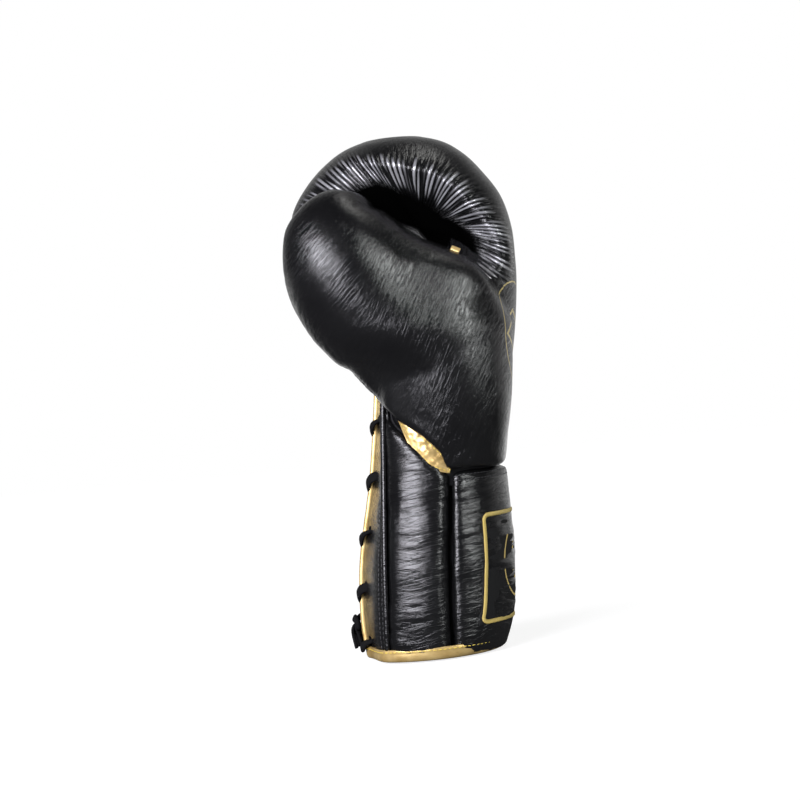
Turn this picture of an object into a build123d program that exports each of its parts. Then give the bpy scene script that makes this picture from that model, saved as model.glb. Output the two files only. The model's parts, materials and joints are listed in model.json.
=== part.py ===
"""Lace-up boxing glove for the right hand, built up from its leather, foam, lining and lace.

Frame, in millimetres: +Z up from the wrist rim to the knuckles, origin at the centre of the
wrist opening in the plane of the rim, +X towards the back of the hand, -X towards the palm
and the lacing, -Y towards the thumb, +Y towards the little finger.

The glove has three bodies: the cuff, the hand above the wrist line, which folds towards the
palm, and the thumb, which swings a little way off the fist.
"""
import os
from math import pi, radians, sqrt, tan

from build123d import *

os.makedirs("parts", exist_ok=True)

# ---------------------------------------------------------------- driving dimensions
glove_height = 295.0        # rim to the top of the knuckle pad
fist_height = 238.0         # rim to the fullest part of the fist
cuff_height = 103.0         # rim to the groove under the back-of-hand pad
throat_height = 172.0       # rim to the top of the lacing, on the palm side

rim_depth = 80.5            # wrist rim, palm side to back
rim_width = 89.0            # wrist rim, thumb side to little-finger side
cuff_depth = 90.0           # fullest part of the cuff, palm side to back
cuff_width = 100.0          # fullest part of the cuff, side to side
fist_depth = 126.0          # fullest part of the fist, fingers to back
fist_width = 108.0          # fullest part of the fist without the thumb
thumb_depth = 57.6          # fullest part of the thumb, along X
thumb_width = 54.0          # fullest part of the thumb, along Y

leather = 1.4               # every leather cover
lining = 1.2                # every fabric lining
glue = 0.2                  # between two layers that are glued or sewn flat
seam = 0.3                  # between two panels that meet edge to edge
cuff_foam = 7.6             # foam in the cuff's three pads
knuckle_soft = 17.0         # outer, softer layer of the knuckle pad
flap = 3.2                  # a lacing flap: leather both sides of a thin filler
wrist_gap = 0.8             # running gap between the cuff and the hand
thumb_gap = 0.6             # running gap between the hand and the thumb
swing_room = 1.8            # between the side pad and the thumb, which passes it as it swings
fold_room = 5.5             # between the cuff and the thumb, which passes it as the hand folds

binding_height = 7.0        # height of the binding on the outside of the rim
binding_wall = 0.9          # leather of the binding
piping_width = 2.6          # piping along each lacing edge
piping_proud = 0.8          # how far the piping stands out of the flap
lacing_gap = 18.0           # between the two lacing edges
lace_diameter = 3.2
lace_clear = 1.3            # between the lace and what it passes
hole_radius = 2.9           # punched lace holes
hole_setback = 8.0          # from a lacing edge to the middle of its holes
hole_rows = 6
hole_first = 10.5           # height of the lowest holes
hole_spacing = 31.0

patch_width = 64.0
patch_height = 63.5
patch_base = 15.5           # rim to the lower edge of the patch
patch_thickness = 1.0
patch_edge = 2.4            # width of the embroidered border

grip_radius = 9.0
grip_length = 72.0
strap_width = 5.0
strap_thickness = 1.6
gusset_width = 9.0          # gold web along the wrist line, below the thumb
reach = 200.0               # past every side of the glove

# ---------------------------------------------------------------- outlines
# Cuff: height, palm side x, back x, half width
cuff_outline = [
    (0.0, -rim_depth / 2, rim_depth / 2, rim_width / 2),
    (16.0, -41.4, 46.2, 0.95 * cuff_width / 2),
    (45.0, 50.0 - cuff_depth, 50.0, cuff_width / 2),
    (cuff_height, -28.5, 50.5, cuff_width / 2),
    (throat_height + 12.0, -17.0, 56.0, cuff_width / 2),
]

# Hand: height, finger or palm side x, back x, thumb side y, little-finger side y
hand_outline = [
    (95.0, -30.0, 50.5, -47.0, 47.0),
    (125.0, -24.0, 54.5, -49.0, 50.0),
    (150.0, -22.0, 59.0, -51.0, 54.0),
    (175.0, -24.0, 64.0, -51.0, 57.0),
    (198.0, -38.0, 67.0, -50.0, 60.0),
    (218.0, -54.0, 68.0, -48.0, 61.0),
    (fist_height, 67.5 - fist_depth, 67.5, 61.0 - fist_width, 61.0),
    (256.0, -57.0, 62.5, -44.0, 57.0),
    (270.0, -48.5, 54.0, -38.0, 50.0),
    (282.0, -36.0, 43.5, -27.0, 39.0),
    (290.0, -22.0, 31.0, -14.0, 26.0),
    (glove_height, -6.0, 15.0, 0.0, 12.0),
]

# Pad on the thumb side of the hand: height, centre x, centre y, half depth, half width
side_outline = [
    (100.0, 24.0, -27.0, 21.0, 20.0),
    (115.0, 20.5, -28.5, 29.0, 26.0),
    (135.0, 18.5, -29.0, 37.0, 30.0),
    (165.0, 14.5, -31.0, 44.0, 33.0),
    (195.0, 13.0, -33.0, 45.0, 30.5),
    (212.0, 12.0, -35.0, 42.5, 26.5),
    (226.0, 6.0, -37.0, 35.0, 22.5),
    (239.0, -4.0, -40.0, 23.0, 17.0),
    (249.0, -10.0, -42.0, 14.0, 12.0),
]

# Thumb: height, centre x, centre y, half depth, half width
thumb_outline = [
    (148.0, 8.0, -44.0, 21.0, 10.0),
    (165.0, -1.0, -49.0, 24.5, 17.5),
    (185.0, -13.0, -55.0, 27.3, 23.0),
    (205.0, -21.0, -60.0, thumb_depth / 2, 26.5),
    (225.0, -23.5, -62.0, 28.5, thumb_width / 2),
    (242.0, -24.5, -61.5, 24.5, 23.0),
    (253.0, -24.5, -61.0, 17.5, 17.0),
    (260.5, -24.0, -60.5, 8.5, 8.5),
]

# Room for the hand inside: height, centre x, centre y, half depth, half width
pocket_outline = [
    (90.0, 9.0, 0.0, 28.0, 38.0),
    (125.0, 13.0, 0.0, 25.0, 38.0),
    (150.0, 17.0, 1.0, 22.0, 39.0),
    (190.0, 18.0, 3.0, 21.0, 41.0),
    (222.0, 16.0, 5.0, 20.0, 40.0),
    (240.0, 13.0, 5.0, 16.0, 36.0),
    (250.0, 10.0, 5.0, 8.0, 26.0),
]

# Room for the curled fingers, from the back of the pocket forwards: x, centre z, half width,
# half height
finger_outline = [
    (12.0, 236.0, 34.0, 12.5),
    (-8.0, 236.0, 34.0, 12.0),
    (-28.0, 231.0, 32.0, 11.5),
    (-38.0, 227.0, 26.0, 9.0),
    (-43.0, 225.0, 14.0, 4.5),
]
finger_centre = 5.0         # y of the finger room's middle

# Room for the thumb: height, centre x, centre y, half depth, half width
thumb_pocket_outline = [
    (154.0, 3.0, -42.0, 9.0, 6.0),
    (170.0, -6.0, -50.0, 12.5, 11.5),
    (195.0, -18.0, -58.0, 13.5, 12.5),
    (220.0, -23.5, -61.5, 13.0, 12.0),
    (236.0, -24.0, -61.5, 10.0, 9.5),
    (243.0, -24.0, -61.5, 4.0, 4.0),
]
passage_x = 2.0             # middle of the way from the hand's room to the thumb's
passage_z = 172.0
passage_depth = 24.0
passage_height = 30.0

# Lines seen from the thumb side, as (x, z)
wrist_line = [
    (reach, cuff_height),
    (24.0, cuff_height),
    (-6.0, 133.0),
    (-6.0, throat_height),
    (-reach, throat_height),
]
side_seam = [(16.0, -5.0), (26.0, cuff_height + 10.0)]      # back pad to side pads
ridge_line = [(-22.5, -5.0), (-12.0, throat_height + 10.0)]  # side pads to lacing flaps
knuckle_line = [(-reach, 171.0), (reach, 247.0)]             # knuckle cover to back and palm
strap_line = [(20.0, 237.5), (46.0, 221.5)]                  # thumb strap, lower edge
palm_x = 12.0               # back-of-hand pad to palm pad
finger_x = -18.0            # knuckle pads to finger pad
grip_x = -17.0
grip_z = 205.0


# ---------------------------------------------------------------- forms
def cuff_form(inset):
    """The cuff's closed outer form, drawn in all round by inset."""
    with BuildPart(mode=Mode.PRIVATE) as form:
        for level, palm, back, half_width in cuff_outline:
            with BuildSketch(Plane(((palm + back) / 2, 0, level))):
                Ellipse((back - palm) / 2 - inset, half_width - inset)
        loft()
    return form.part


def hand_form(inset):
    """The hand's closed outer form, drawn in all round by inset; the dome above the fullest
    part of the fist shrinks towards that part's middle."""
    _, palm, back, thumb, little = next(row for row in hand_outline if row[0] == fist_height)
    fist_x = (palm + back) / 2
    fist_y = (thumb + little) / 2
    shrink_x = 1 - 2 * inset / (back - palm)
    shrink_y = 1 - 2 * inset / (little - thumb)
    shrink_z = 1 - inset / (glove_height - fist_height)
    with BuildPart(mode=Mode.PRIVATE) as form:
        for level, palm, back, thumb, little in hand_outline:
            x = (palm + back) / 2
            y = (thumb + little) / 2
            half_depth = (back - palm) / 2
            half_width = (little - thumb) / 2
            if level > fist_height:
                x = fist_x + shrink_x * (x - fist_x)
                y = fist_y + shrink_y * (y - fist_y)
                level = fist_height + shrink_z * (level - fist_height)
                half_depth *= shrink_x
                half_width *= shrink_y
            else:
                half_depth -= inset
                half_width -= inset
            with BuildSketch(Plane((x, y, level))):
                Ellipse(half_depth, half_width)
        loft()
    return form.part


def tube_form(outline, inset):
    """A closed form through ovals that each have a centre, drawn in all round by inset."""
    first = outline[0][0]
    last = outline[-1][0]
    with BuildPart(mode=Mode.PRIVATE) as form:
        for level, x, y, half_depth, half_width in outline:
            height = level + inset * (1 - 2 * (level - first) / (last - first))
            with BuildSketch(Plane((x, y, height))):
                Ellipse(half_depth - inset, half_width - inset)
        loft()
    return form.part


def pocket_form(grow):
    """The room for the palm and the curled fingers, grown all round by grow."""
    palm_room = tube_form(pocket_outline, -grow)
    with BuildPart(mode=Mode.PRIVATE) as form:
        for x, z, half_width, half_height in finger_outline:
            forward = -grow if x == finger_outline[-1][0] else 0
            with BuildSketch(Plane((x + forward, finger_centre, z), x_dir=(0, 1, 0), z_dir=(-1, 0, 0))):
                Ellipse(half_width + grow, half_height + grow)
        loft()
        add(palm_room)
    return form.part


def passage_form(grow):
    """The way from the hand's room into the thumb's room, along Y."""
    with BuildPart(mode=Mode.PRIVATE) as form:
        with BuildSketch(Plane((passage_x, -20, passage_z), x_dir=(1, 0, 0), z_dir=(0, -1, 0))):
            Ellipse(passage_depth / 2 + grow, passage_height / 2 + grow)
        extrude(amount=34)
    return form.part


def largest(part):
    """The piece itself, without slivers that a cut leaves beside it."""
    return part.solids().sort_by(SortBy.VOLUME)[-1]


def prism(*corners):
    """A region that is bounded as seen from the thumb side and goes right through along Y."""
    with BuildPart(mode=Mode.PRIVATE) as region:
        with BuildSketch(Plane.XZ):
            with BuildLine():
                Polyline(*corners, close=True)
            make_face()
        extrude(amount=reach, both=True)
    return region.part


def slab(low, high):
    """A region between two corners."""
    with BuildPart(Location((low[0], low[1], low[2])), mode=Mode.PRIVATE) as region:
        Box(high[0] - low[0], high[1] - low[1], high[2] - low[2], align=(Align.MIN, Align.MIN, Align.MIN))
    return region.part


def beside(line, side, gap=0.0):
    """The region to one side of a line of two points: side is +1 towards +X, -1 towards -X."""
    (x0, z0), (x1, z1) = line
    x0 += side * gap
    x1 += side * gap
    lean = (x1 - x0) / (z1 - z0)
    foot = (x0 + lean * (-reach - z0), -reach)
    head = (x0 + lean * (2 * reach - z0), 2 * reach)
    return prism(foot, head, (side * 3 * reach, 2 * reach), (side * 3 * reach, -reach))


under_wrist = prism(*wrist_line, (-reach, -reach), (reach, -reach))
over_wrist = prism(
    *[(x + (wrist_gap if abs(x) < reach else 0), z + wrist_gap) for x, z in wrist_line],
    (-reach, 2 * reach),
    (reach, 2 * reach),
)
hole_y = lacing_gap / 2 + hole_setback
thumb_half = slab((-reach, -reach, -reach), (reach, 0, 2 * reach))
little_half = slab((-reach, 0, -reach), (reach, reach, 2 * reach))
lacing_slot = slab((-reach, -lacing_gap / 2, -reach), (0, lacing_gap / 2, 2 * reach))
lace_room = slab((-reach, -hole_y - 4, -reach), (0, hole_y + 4, 2 * reach))
above_rim = slab((-reach, -reach, binding_wall + glue), (reach, reach, 2 * reach))
above_binding = slab((-reach, -reach, binding_height + glue), (reach, reach, 2 * reach))

foam_out = leather + glue
foam_in = foam_out + cuff_foam
lining_out = foam_in + glue
lining_in = lining_out + lining

cuff_skin = cuff_form(0)
cuff_under_skin = cuff_form(leather)
cuff_foam_face = cuff_form(foam_out)
cuff_foam_back = cuff_form(foam_in)
cuff_lining_face = cuff_form(lining_out)
cuff_room = cuff_form(lining_in)

back_zone = beside(side_seam, 1, seam / 2)
front_zone = beside(side_seam, -1, seam / 2)
pad_zone = beside(ridge_line, 1, seam / 2)
flap_zone = beside(ridge_line, -1, seam / 2)

# ---------------------------------------------------------------- cuff: the pads
with BuildPart() as cuff_back_cover:
    add(cuff_skin)
    add(cuff_under_skin, mode=Mode.SUBTRACT)
    add(back_zone, mode=Mode.INTERSECT)
    add(under_wrist, mode=Mode.INTERSECT)
    add(above_rim, mode=Mode.INTERSECT)
cuff_back_cover.part.label = "cuff_back_cover"
export_step(cuff_back_cover.part, "parts/cuff_back_cover.step")

with BuildPart() as cuff_back_foam:
    add(cuff_foam_face)
    add(cuff_foam_back, mode=Mode.SUBTRACT)
    add(back_zone, mode=Mode.INTERSECT)
    add(under_wrist, mode=Mode.INTERSECT)
    add(above_rim, mode=Mode.INTERSECT)
cuff_back_foam.part.label = "cuff_back_foam"
export_step(cuff_back_foam.part, "parts/cuff_back_foam.step")

# The gold web fills the top edge of the thumb-side pad along the rising stretch of the wrist
# line, so that pad's cover stops short of it.
rise_x = wrist_line[2][0] - wrist_line[1][0]
rise_z = wrist_line[2][1] - wrist_line[1][1]
rise = sqrt(rise_x**2 + rise_z**2)
across = (gusset_width * rise_z / rise, -gusset_width * rise_x / rise)
gusset_zone = prism(
    (wrist_line[1][0] + 2, wrist_line[1][1] + 2),
    (wrist_line[2][0] + 2, wrist_line[2][1] + 2),
    (wrist_line[2][0] + 3 - across[0], wrist_line[2][1] - 3 - across[1]),
    (wrist_line[1][0] - across[0], wrist_line[1][1] - across[1]),
)

for side, half in (("thumb", thumb_half), ("little_finger", little_half)):
    with BuildPart() as side_cover:
        add(cuff_skin)
        add(cuff_under_skin, mode=Mode.SUBTRACT)
        add(front_zone, mode=Mode.INTERSECT)
        add(pad_zone, mode=Mode.INTERSECT)
        add(under_wrist, mode=Mode.INTERSECT)
        add(above_rim, mode=Mode.INTERSECT)
        add(half, mode=Mode.INTERSECT)
        if side == "thumb":
            add(gusset_zone, mode=Mode.SUBTRACT)
    side_cover.part.label = f"cuff_{side}_side_cover"
    export_step(side_cover.part, f"parts/cuff_{side}_side_cover.step")

    with BuildPart() as side_foam:
        add(cuff_foam_face)
        add(cuff_foam_back, mode=Mode.SUBTRACT)
        add(front_zone, mode=Mode.INTERSECT)
        add(pad_zone, mode=Mode.INTERSECT)
        add(under_wrist, mode=Mode.INTERSECT)
        add(above_rim, mode=Mode.INTERSECT)
        add(half, mode=Mode.INTERSECT)
        add(lace_room, mode=Mode.SUBTRACT)
    side_foam.part.label = f"cuff_{side}_side_foam"
    export_step(side_foam.part, f"parts/cuff_{side}_side_foam.step")

# Gold web at the foot of the thumb, sewn into the wrist line
with BuildPart() as thumb_gusset:
    add(cuff_skin)
    add(cuff_under_skin, mode=Mode.SUBTRACT)
    add(gusset_zone, mode=Mode.INTERSECT)
    add(front_zone, mode=Mode.INTERSECT)
    add(under_wrist, mode=Mode.INTERSECT)
    add(thumb_half, mode=Mode.INTERSECT)
thumb_gusset.part.label = "thumb_gusset"
export_step(thumb_gusset.part, "parts/thumb_gusset.step")

# Fabric lining of the three pads, open along the lacing
with BuildPart() as cuff_lining:
    add(cuff_lining_face)
    add(cuff_room, mode=Mode.SUBTRACT)
    add(pad_zone, mode=Mode.INTERSECT)
    add(under_wrist, mode=Mode.INTERSECT)
    add(above_rim, mode=Mode.INTERSECT)
cuff_lining.part.label = "cuff_lining"
export_step(cuff_lining.part, "parts/cuff_lining.step")

# ---------------------------------------------------------------- cuff: the lacing
hole_levels = [hole_first + row * hole_spacing for row in range(hole_rows)]
flap_back = cuff_form(flap)
piping_face = cuff_form(-piping_proud)
piping_y = lacing_gap / 2 + piping_width

for side, half, way in (("thumb", thumb_half, -1), ("little_finger", little_half, 1)):
    with BuildPart() as lacing_flap:
        add(cuff_skin)
        add(flap_back, mode=Mode.SUBTRACT)
        add(flap_zone, mode=Mode.INTERSECT)
        add(under_wrist, mode=Mode.INTERSECT)
        add(above_rim, mode=Mode.INTERSECT)
        add(half, mode=Mode.INTERSECT)
        add(slab((-reach, -piping_y, -reach), (0, piping_y, 2 * reach)), mode=Mode.SUBTRACT)
        for level in hole_levels:
            with BuildSketch(Plane((0, way * hole_y, level), x_dir=(0, 1, 0), z_dir=(-1, 0, 0))):
                Circle(hole_radius)
            extrude(amount=reach, mode=Mode.SUBTRACT)
    lacing_flap.part.label = f"lacing_flap_{side}_side"
    export_step(lacing_flap.part, f"parts/lacing_flap_{side}_side.step")

    with BuildPart() as lacing_piping:
        add(piping_face)
        add(flap_back, mode=Mode.SUBTRACT)
        add(flap_zone, mode=Mode.INTERSECT)
        add(under_wrist, mode=Mode.INTERSECT)
        add(above_binding, mode=Mode.INTERSECT)
        add(half, mode=Mode.INTERSECT)
        add(slab((-reach, -piping_y, -reach), (0, piping_y, 2 * reach)), mode=Mode.INTERSECT)
        add(lacing_slot, mode=Mode.SUBTRACT)
    lacing_piping.part.label = f"lacing_piping_{side}_side"
    export_step(lacing_piping.part, f"parts/lacing_piping_{side}_side.step")


def cuff_x(level, y, out):
    """X of a point that stands out by a distance from the cuff's palm-side face."""
    hits = cuff_skin.find_intersection_points(Axis((-reach, y, level), (1, 0, 0)))
    return min(point.X for point, _ in hits) - out


# One lace, tied at the rim. It comes out of each hole, runs over its own edge, dives under
# the other edge and comes out of the next hole, and its two halves cross in the gap.
lace_out = piping_proud + lace_clear + lace_diameter / 2
lace_in = -(flap + lace_clear + lace_diameter / 2)
lace_edge = lacing_gap / 2 + piping_width / 2
knot_z = 19.0
knot_out = 5.4


def lace_half(side):
    """Points of one half of the lace, from the top hole on one side down to the knot."""
    route = []
    for row in range(hole_rows - 1, -1, -1):
        top = hole_levels[row]
        route += [
            (top + 1.0, side * (hole_y + 0.2), lace_in - 0.6),
            (top, side * hole_y, -flap / 2),
            (top - 1.2, side * (hole_y - 1.0), lace_out + 0.2),
        ]
        if row == 0:
            break
        step = hole_spacing / (2 * hole_y)
        cross_out = 1.2 if side > 0 else -4.2
        cross_y = 0.0 if side > 0 else 1.0
        route += [
            (top - step * (hole_y - lace_edge), side * lace_edge, lace_out),
            (top - step * (hole_y + cross_y), -side * cross_y, cross_out),
            (top - step * (hole_y + lace_edge - 0.5), -side * (lace_edge - 0.5), lace_in),
        ]
        side = -side
    route += [
        (hole_levels[0] - 5.0, side * 7.5, lace_out + 0.6),
        (hole_levels[0] - 3.5, side * 3.4, lace_out + 1.2),
        (knot_z - 4.5, side * 2.0, knot_out),
    ]
    return [Vector(cuff_x(z, y, out), y, z) for z, y, out in route]


lace_points = list(reversed(lace_half(-1)))
lace_points.append(Vector(cuff_x(hole_levels[-1] + 2, 0, lace_in), 0, hole_levels[-1] + 2.4))
lace_points += lace_half(1)
lace_radii = []
for before, corner, after in zip(lace_points, lace_points[1:], lace_points[2:]):
    turn = (corner - before).get_angle(after - corner)
    run = min((corner - before).length, (after - corner).length)
    lace_radii.append(0.45 * run / tan(radians(turn / 2)))
print("lace bend radii:", " ".join(f"{radius:.1f}" for radius in lace_radii))

with BuildPart() as wrist_lace:
    with BuildLine() as lace_path:
        FilletPolyline(*lace_points, radius=lace_radii)
    with BuildSketch(Plane(lace_path.line @ 0, z_dir=lace_path.line % 0)):
        Circle(lace_diameter / 2)
    sweep()
wrist_lace.part.label = "wrist_lace"
export_step(wrist_lace.part, "parts/wrist_lace.step")
lace_length = sum(edge.length for edge in lace_path.edges())
tube_volume = lace_length * pi * lace_diameter**2 / 4
print(f"lace length: {lace_length:.1f} volume share: {wrist_lace.part.volume / tube_volume:.4f}")

with BuildPart() as lace_knot:
    with BuildSketch(Plane((cuff_x(knot_z, 0, knot_out), 0, knot_z - 4.5))):
        Ellipse(2.6, 4.6)
    with BuildSketch(Plane((cuff_x(knot_z, 0, knot_out), 0, knot_z))):
        Ellipse(3.8, 5.4)
    with BuildSketch(Plane((cuff_x(knot_z, 0, knot_out), 0, knot_z + 4.5))):
        Ellipse(2.6, 4.0)
    loft()
    add(wrist_lace.part, mode=Mode.SUBTRACT)
lace_knot.part.label = "lace_knot"
export_step(lace_knot.part, "parts/lace_knot.step")

# ---------------------------------------------------------------- cuff: binding and patch
binding_out = cuff_form(-binding_wall)
binding_face = cuff_form(-0.05)
binding_inner = cuff_form(lining_in + 0.05)
binding_inside = cuff_form(lining_in + 0.05 + binding_wall)
binding_flap = cuff_form(flap + 0.05)
rim_floor = slab((-reach, -reach, 0), (reach, reach, binding_wall))
rim_band = slab((-reach, -reach, 0), (reach, reach, binding_height))

with BuildPart() as cuff_binding:
    add(binding_out)
    add(rim_band, mode=Mode.INTERSECT)
    add(binding_face, mode=Mode.SUBTRACT)
    with BuildPart(mode=Mode.PRIVATE) as pad_floor:
        add(binding_out)
        add(binding_inside, mode=Mode.SUBTRACT)
        add(rim_floor, mode=Mode.INTERSECT)
        add(pad_zone, mode=Mode.INTERSECT)
    with BuildPart(mode=Mode.PRIVATE) as flap_floor:
        add(binding_out)
        add(binding_flap, mode=Mode.SUBTRACT)
        add(rim_floor, mode=Mode.INTERSECT)
    with BuildPart(mode=Mode.PRIVATE) as inner_wall:
        add(binding_inner)
        add(binding_inside, mode=Mode.SUBTRACT)
        add(rim_band, mode=Mode.INTERSECT)
        add(pad_zone, mode=Mode.INTERSECT)
    add(pad_floor.part)
    add(flap_floor.part)
    add(inner_wall.part)
    add(lacing_slot, mode=Mode.SUBTRACT)
cuff_binding.part.label = "cuff_binding"
export_step(cuff_binding.part, "parts/cuff_binding.step")

patch_top = patch_base + patch_height
patch_area = slab((0, -patch_width / 2, patch_base), (reach, patch_width / 2, patch_top))
patch_middle = slab(
    (0, -patch_width / 2 + patch_edge, patch_base + patch_edge),
    (reach, patch_width / 2 - patch_edge, patch_top - patch_edge),
)
patch_seat = cuff_form(-glue)
patch_face = cuff_form(-glue - patch_thickness)

with BuildPart() as cuff_patch:
    add(patch_face)
    add(patch_seat, mode=Mode.SUBTRACT)
    add(patch_middle, mode=Mode.INTERSECT)
cuff_patch.part.label = "cuff_patch"
export_step(cuff_patch.part, "parts/cuff_patch.step")

with BuildPart() as patch_border:
    add(patch_face)
    add(patch_seat, mode=Mode.SUBTRACT)
    add(patch_area, mode=Mode.INTERSECT)
    add(patch_middle, mode=Mode.SUBTRACT)
patch_border.part.label = "patch_border"
export_step(patch_border.part, "parts/patch_border.step")

# ---------------------------------------------------------------- hand: forms and regions
hand_skin = hand_form(0)
hand_under_skin = hand_form(leather)
hand_foam_face = hand_form(leather + glue)
knuckle_split_out = hand_form(leather + glue + knuckle_soft)
knuckle_split_in = hand_form(leather + 2 * glue + knuckle_soft)
hand_room = pocket_form(0)
hand_lining_face = pocket_form(lining)
hand_foam_room = pocket_form(lining + glue)
passage = passage_form(0)
passage_through = passage_form(lining)

(low_x, low_z), (high_x, high_z) = knuckle_line
over_knuckle = prism(
    (low_x, low_z + seam / 2), (high_x, high_z + seam / 2), (high_x, 2 * reach), (low_x, 2 * reach)
)
under_knuckle = prism(
    (low_x, low_z - seam / 2), (high_x, high_z - seam / 2), (high_x, -reach), (low_x, -reach)
)
back_of_palm = slab((palm_x + seam / 2, -reach, -reach), (reach, reach, 2 * reach))
palm_of_back = slab((-reach, -reach, -reach), (palm_x - seam / 2, reach, 2 * reach))
back_of_fingers = slab((finger_x + seam / 2, -reach, -reach), (reach, reach, 2 * reach))
front_of_fingers = slab((-reach, -reach, -reach), (finger_x - seam / 2, reach, 2 * reach))

side_skin = tube_form(side_outline, 0)
side_under_skin = tube_form(side_outline, leather)
side_foam_face = tube_form(side_outline, leather + glue)
side_seat = tube_form(side_outline, -glue)
thumb_skin = tube_form(thumb_outline, 0)
thumb_under_skin = tube_form(thumb_outline, leather)
thumb_foam_face = tube_form(thumb_outline, leather + glue)
thumb_swept = tube_form(thumb_outline, -swing_room)
with BuildPart() as thumb_seat_form:
    add(hand_form(-thumb_gap))
    add(cuff_form(-fold_room))
thumb_seat = thumb_seat_form.part

# ---------------------------------------------------------------- hand: grip bar
with BuildPart() as grip_bar:
    with BuildSketch(Plane((grip_x, finger_centre + grip_length / 2, grip_z), z_dir=(0, -1, 0))):
        Circle(grip_radius)
    extrude(amount=grip_length)
grip_bar.part.label = "grip_bar"
export_step(grip_bar.part, "parts/grip_bar.step")
with BuildPart() as grip_hole:
    with BuildSketch(Plane((grip_x, finger_centre + grip_length / 2 + glue, grip_z), z_dir=(0, -1, 0))):
        Circle(grip_radius + glue)
    extrude(amount=grip_length + 2 * glue)

# ---------------------------------------------------------------- hand: leather covers
for name, regions in (
    ("knuckle_cover", (over_knuckle,)),
    ("hand_back_cover", (under_knuckle, back_of_palm)),
    ("palm_cover", (under_knuckle, palm_of_back)),
):
    with BuildPart() as cover:
        add(hand_skin)
        add(over_wrist, mode=Mode.INTERSECT)
        for region in regions:
            add(region, mode=Mode.INTERSECT)
        add(side_seat, mode=Mode.SUBTRACT)
        add(passage_through, mode=Mode.SUBTRACT)
        add(hand_under_skin, mode=Mode.SUBTRACT)
    piece = largest(cover.part)
    piece.label = name
    export_step(piece, f"parts/{name}.step")

# ---------------------------------------------------------------- hand: pads
for name, face, rooms, regions in (
    (
        "knuckle_pad_outer",
        hand_foam_face,
        (knuckle_split_out, hand_foam_room),
        (over_knuckle, back_of_fingers),
    ),
    ("knuckle_pad_inner", knuckle_split_in, (hand_foam_room,), (over_knuckle, back_of_fingers)),
    ("finger_pad", hand_foam_face, (hand_foam_room,), (over_knuckle, front_of_fingers)),
    ("back_hand_pad", hand_foam_face, (hand_foam_room,), (under_knuckle, back_of_palm)),
    ("palm_pad", hand_foam_face, (hand_foam_room,), (under_knuckle, palm_of_back)),
):
    with BuildPart() as pad:
        add(face)
        add(over_wrist, mode=Mode.INTERSECT)
        for region in regions:
            add(region, mode=Mode.INTERSECT)
        for room in rooms:
            add(room, mode=Mode.SUBTRACT)
        add(grip_hole.part, mode=Mode.SUBTRACT)
        add(passage_through, mode=Mode.SUBTRACT)
    piece = largest(pad.part)
    piece.label = name
    export_step(piece, f"parts/{name}.step")

with BuildPart() as hand_side_cover:
    add(side_skin)
    add(over_wrist, mode=Mode.INTERSECT)
    add(hand_under_skin, mode=Mode.SUBTRACT)
    add(thumb_swept, mode=Mode.SUBTRACT)
    add(side_under_skin, mode=Mode.SUBTRACT)
    add(passage_through, mode=Mode.SUBTRACT)
piece = largest(hand_side_cover.part)
piece.label = "hand_side_cover"
export_step(piece, "parts/hand_side_cover.step")

with BuildPart() as hand_side_pad:
    add(side_foam_face)
    add(over_wrist, mode=Mode.INTERSECT)
    add(hand_under_skin, mode=Mode.SUBTRACT)
    add(thumb_swept, mode=Mode.SUBTRACT)
    add(passage_through, mode=Mode.SUBTRACT)
piece = largest(hand_side_pad.part)
piece.label = "hand_side_pad"
export_step(piece, "parts/hand_side_pad.step")

with BuildPart() as hand_lining:
    add(hand_lining_face)
    add(over_wrist, mode=Mode.INTERSECT)
    add(hand_room, mode=Mode.SUBTRACT)
    add(passage, mode=Mode.SUBTRACT)
hand_lining.part.label = "hand_lining"
export_step(hand_lining.part, "parts/hand_lining.step")

# ---------------------------------------------------------------- thumb
for name, near in (("thumb_outer_cover", True), ("thumb_inner_cover", False)):
    middle = thumb_outline[4][2]
    with BuildPart() as thumb_cover:
        add(thumb_skin)
        add(thumb_seat, mode=Mode.SUBTRACT)
        add(thumb_under_skin, mode=Mode.SUBTRACT)
        if near:
            add(slab((-reach, middle - seam / 2, -reach), (reach, reach, 2 * reach)), mode=Mode.SUBTRACT)
        else:
            add(slab((-reach, -reach, -reach), (reach, middle + seam / 2, 2 * reach)), mode=Mode.SUBTRACT)
    piece = largest(thumb_cover.part)
    piece.label = name
    export_step(piece, f"parts/{name}.step")

thumb_room = tube_form(thumb_pocket_outline, 0)
thumb_lining_face = tube_form(thumb_pocket_outline, -lining)
thumb_foam_room = tube_form(thumb_pocket_outline, -lining - glue)

with BuildPart() as thumb_pad:
    add(thumb_foam_face)
    add(thumb_seat, mode=Mode.SUBTRACT)
    add(thumb_foam_room, mode=Mode.SUBTRACT)
piece = largest(thumb_pad.part)
piece.label = "thumb_pad"
export_step(piece, "parts/thumb_pad.step")

with BuildPart() as thumb_lining:
    add(thumb_lining_face)
    add(thumb_seat, mode=Mode.SUBTRACT)
    add(thumb_room, mode=Mode.SUBTRACT)
piece = largest(thumb_lining.part)
piece.label = "thumb_lining"
export_step(piece, "parts/thumb_lining.step")

# Short leather strap that holds the thumb to the fist, seen in the fold between them
with BuildPart() as thumb_strap:
    add(hand_form(-glue - strap_thickness))
    add(hand_form(-glue), mode=Mode.SUBTRACT)
    add(prism(*strap_line, *[(x, z + strap_width) for x, z in reversed(strap_line)]), mode=Mode.INTERSECT)
    add(thumb_half, mode=Mode.INTERSECT)
    add(side_seat, mode=Mode.SUBTRACT)
    add(thumb_swept, mode=Mode.SUBTRACT)
piece = largest(thumb_strap.part)
piece.label = "thumb_strap"
export_step(piece, "parts/thumb_strap.step")
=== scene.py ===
"""Lace-up boxing glove: the looks of each leather, foam, fabric and lace piece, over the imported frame."""
import json
from math import cos, pi, radians, sin

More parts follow.
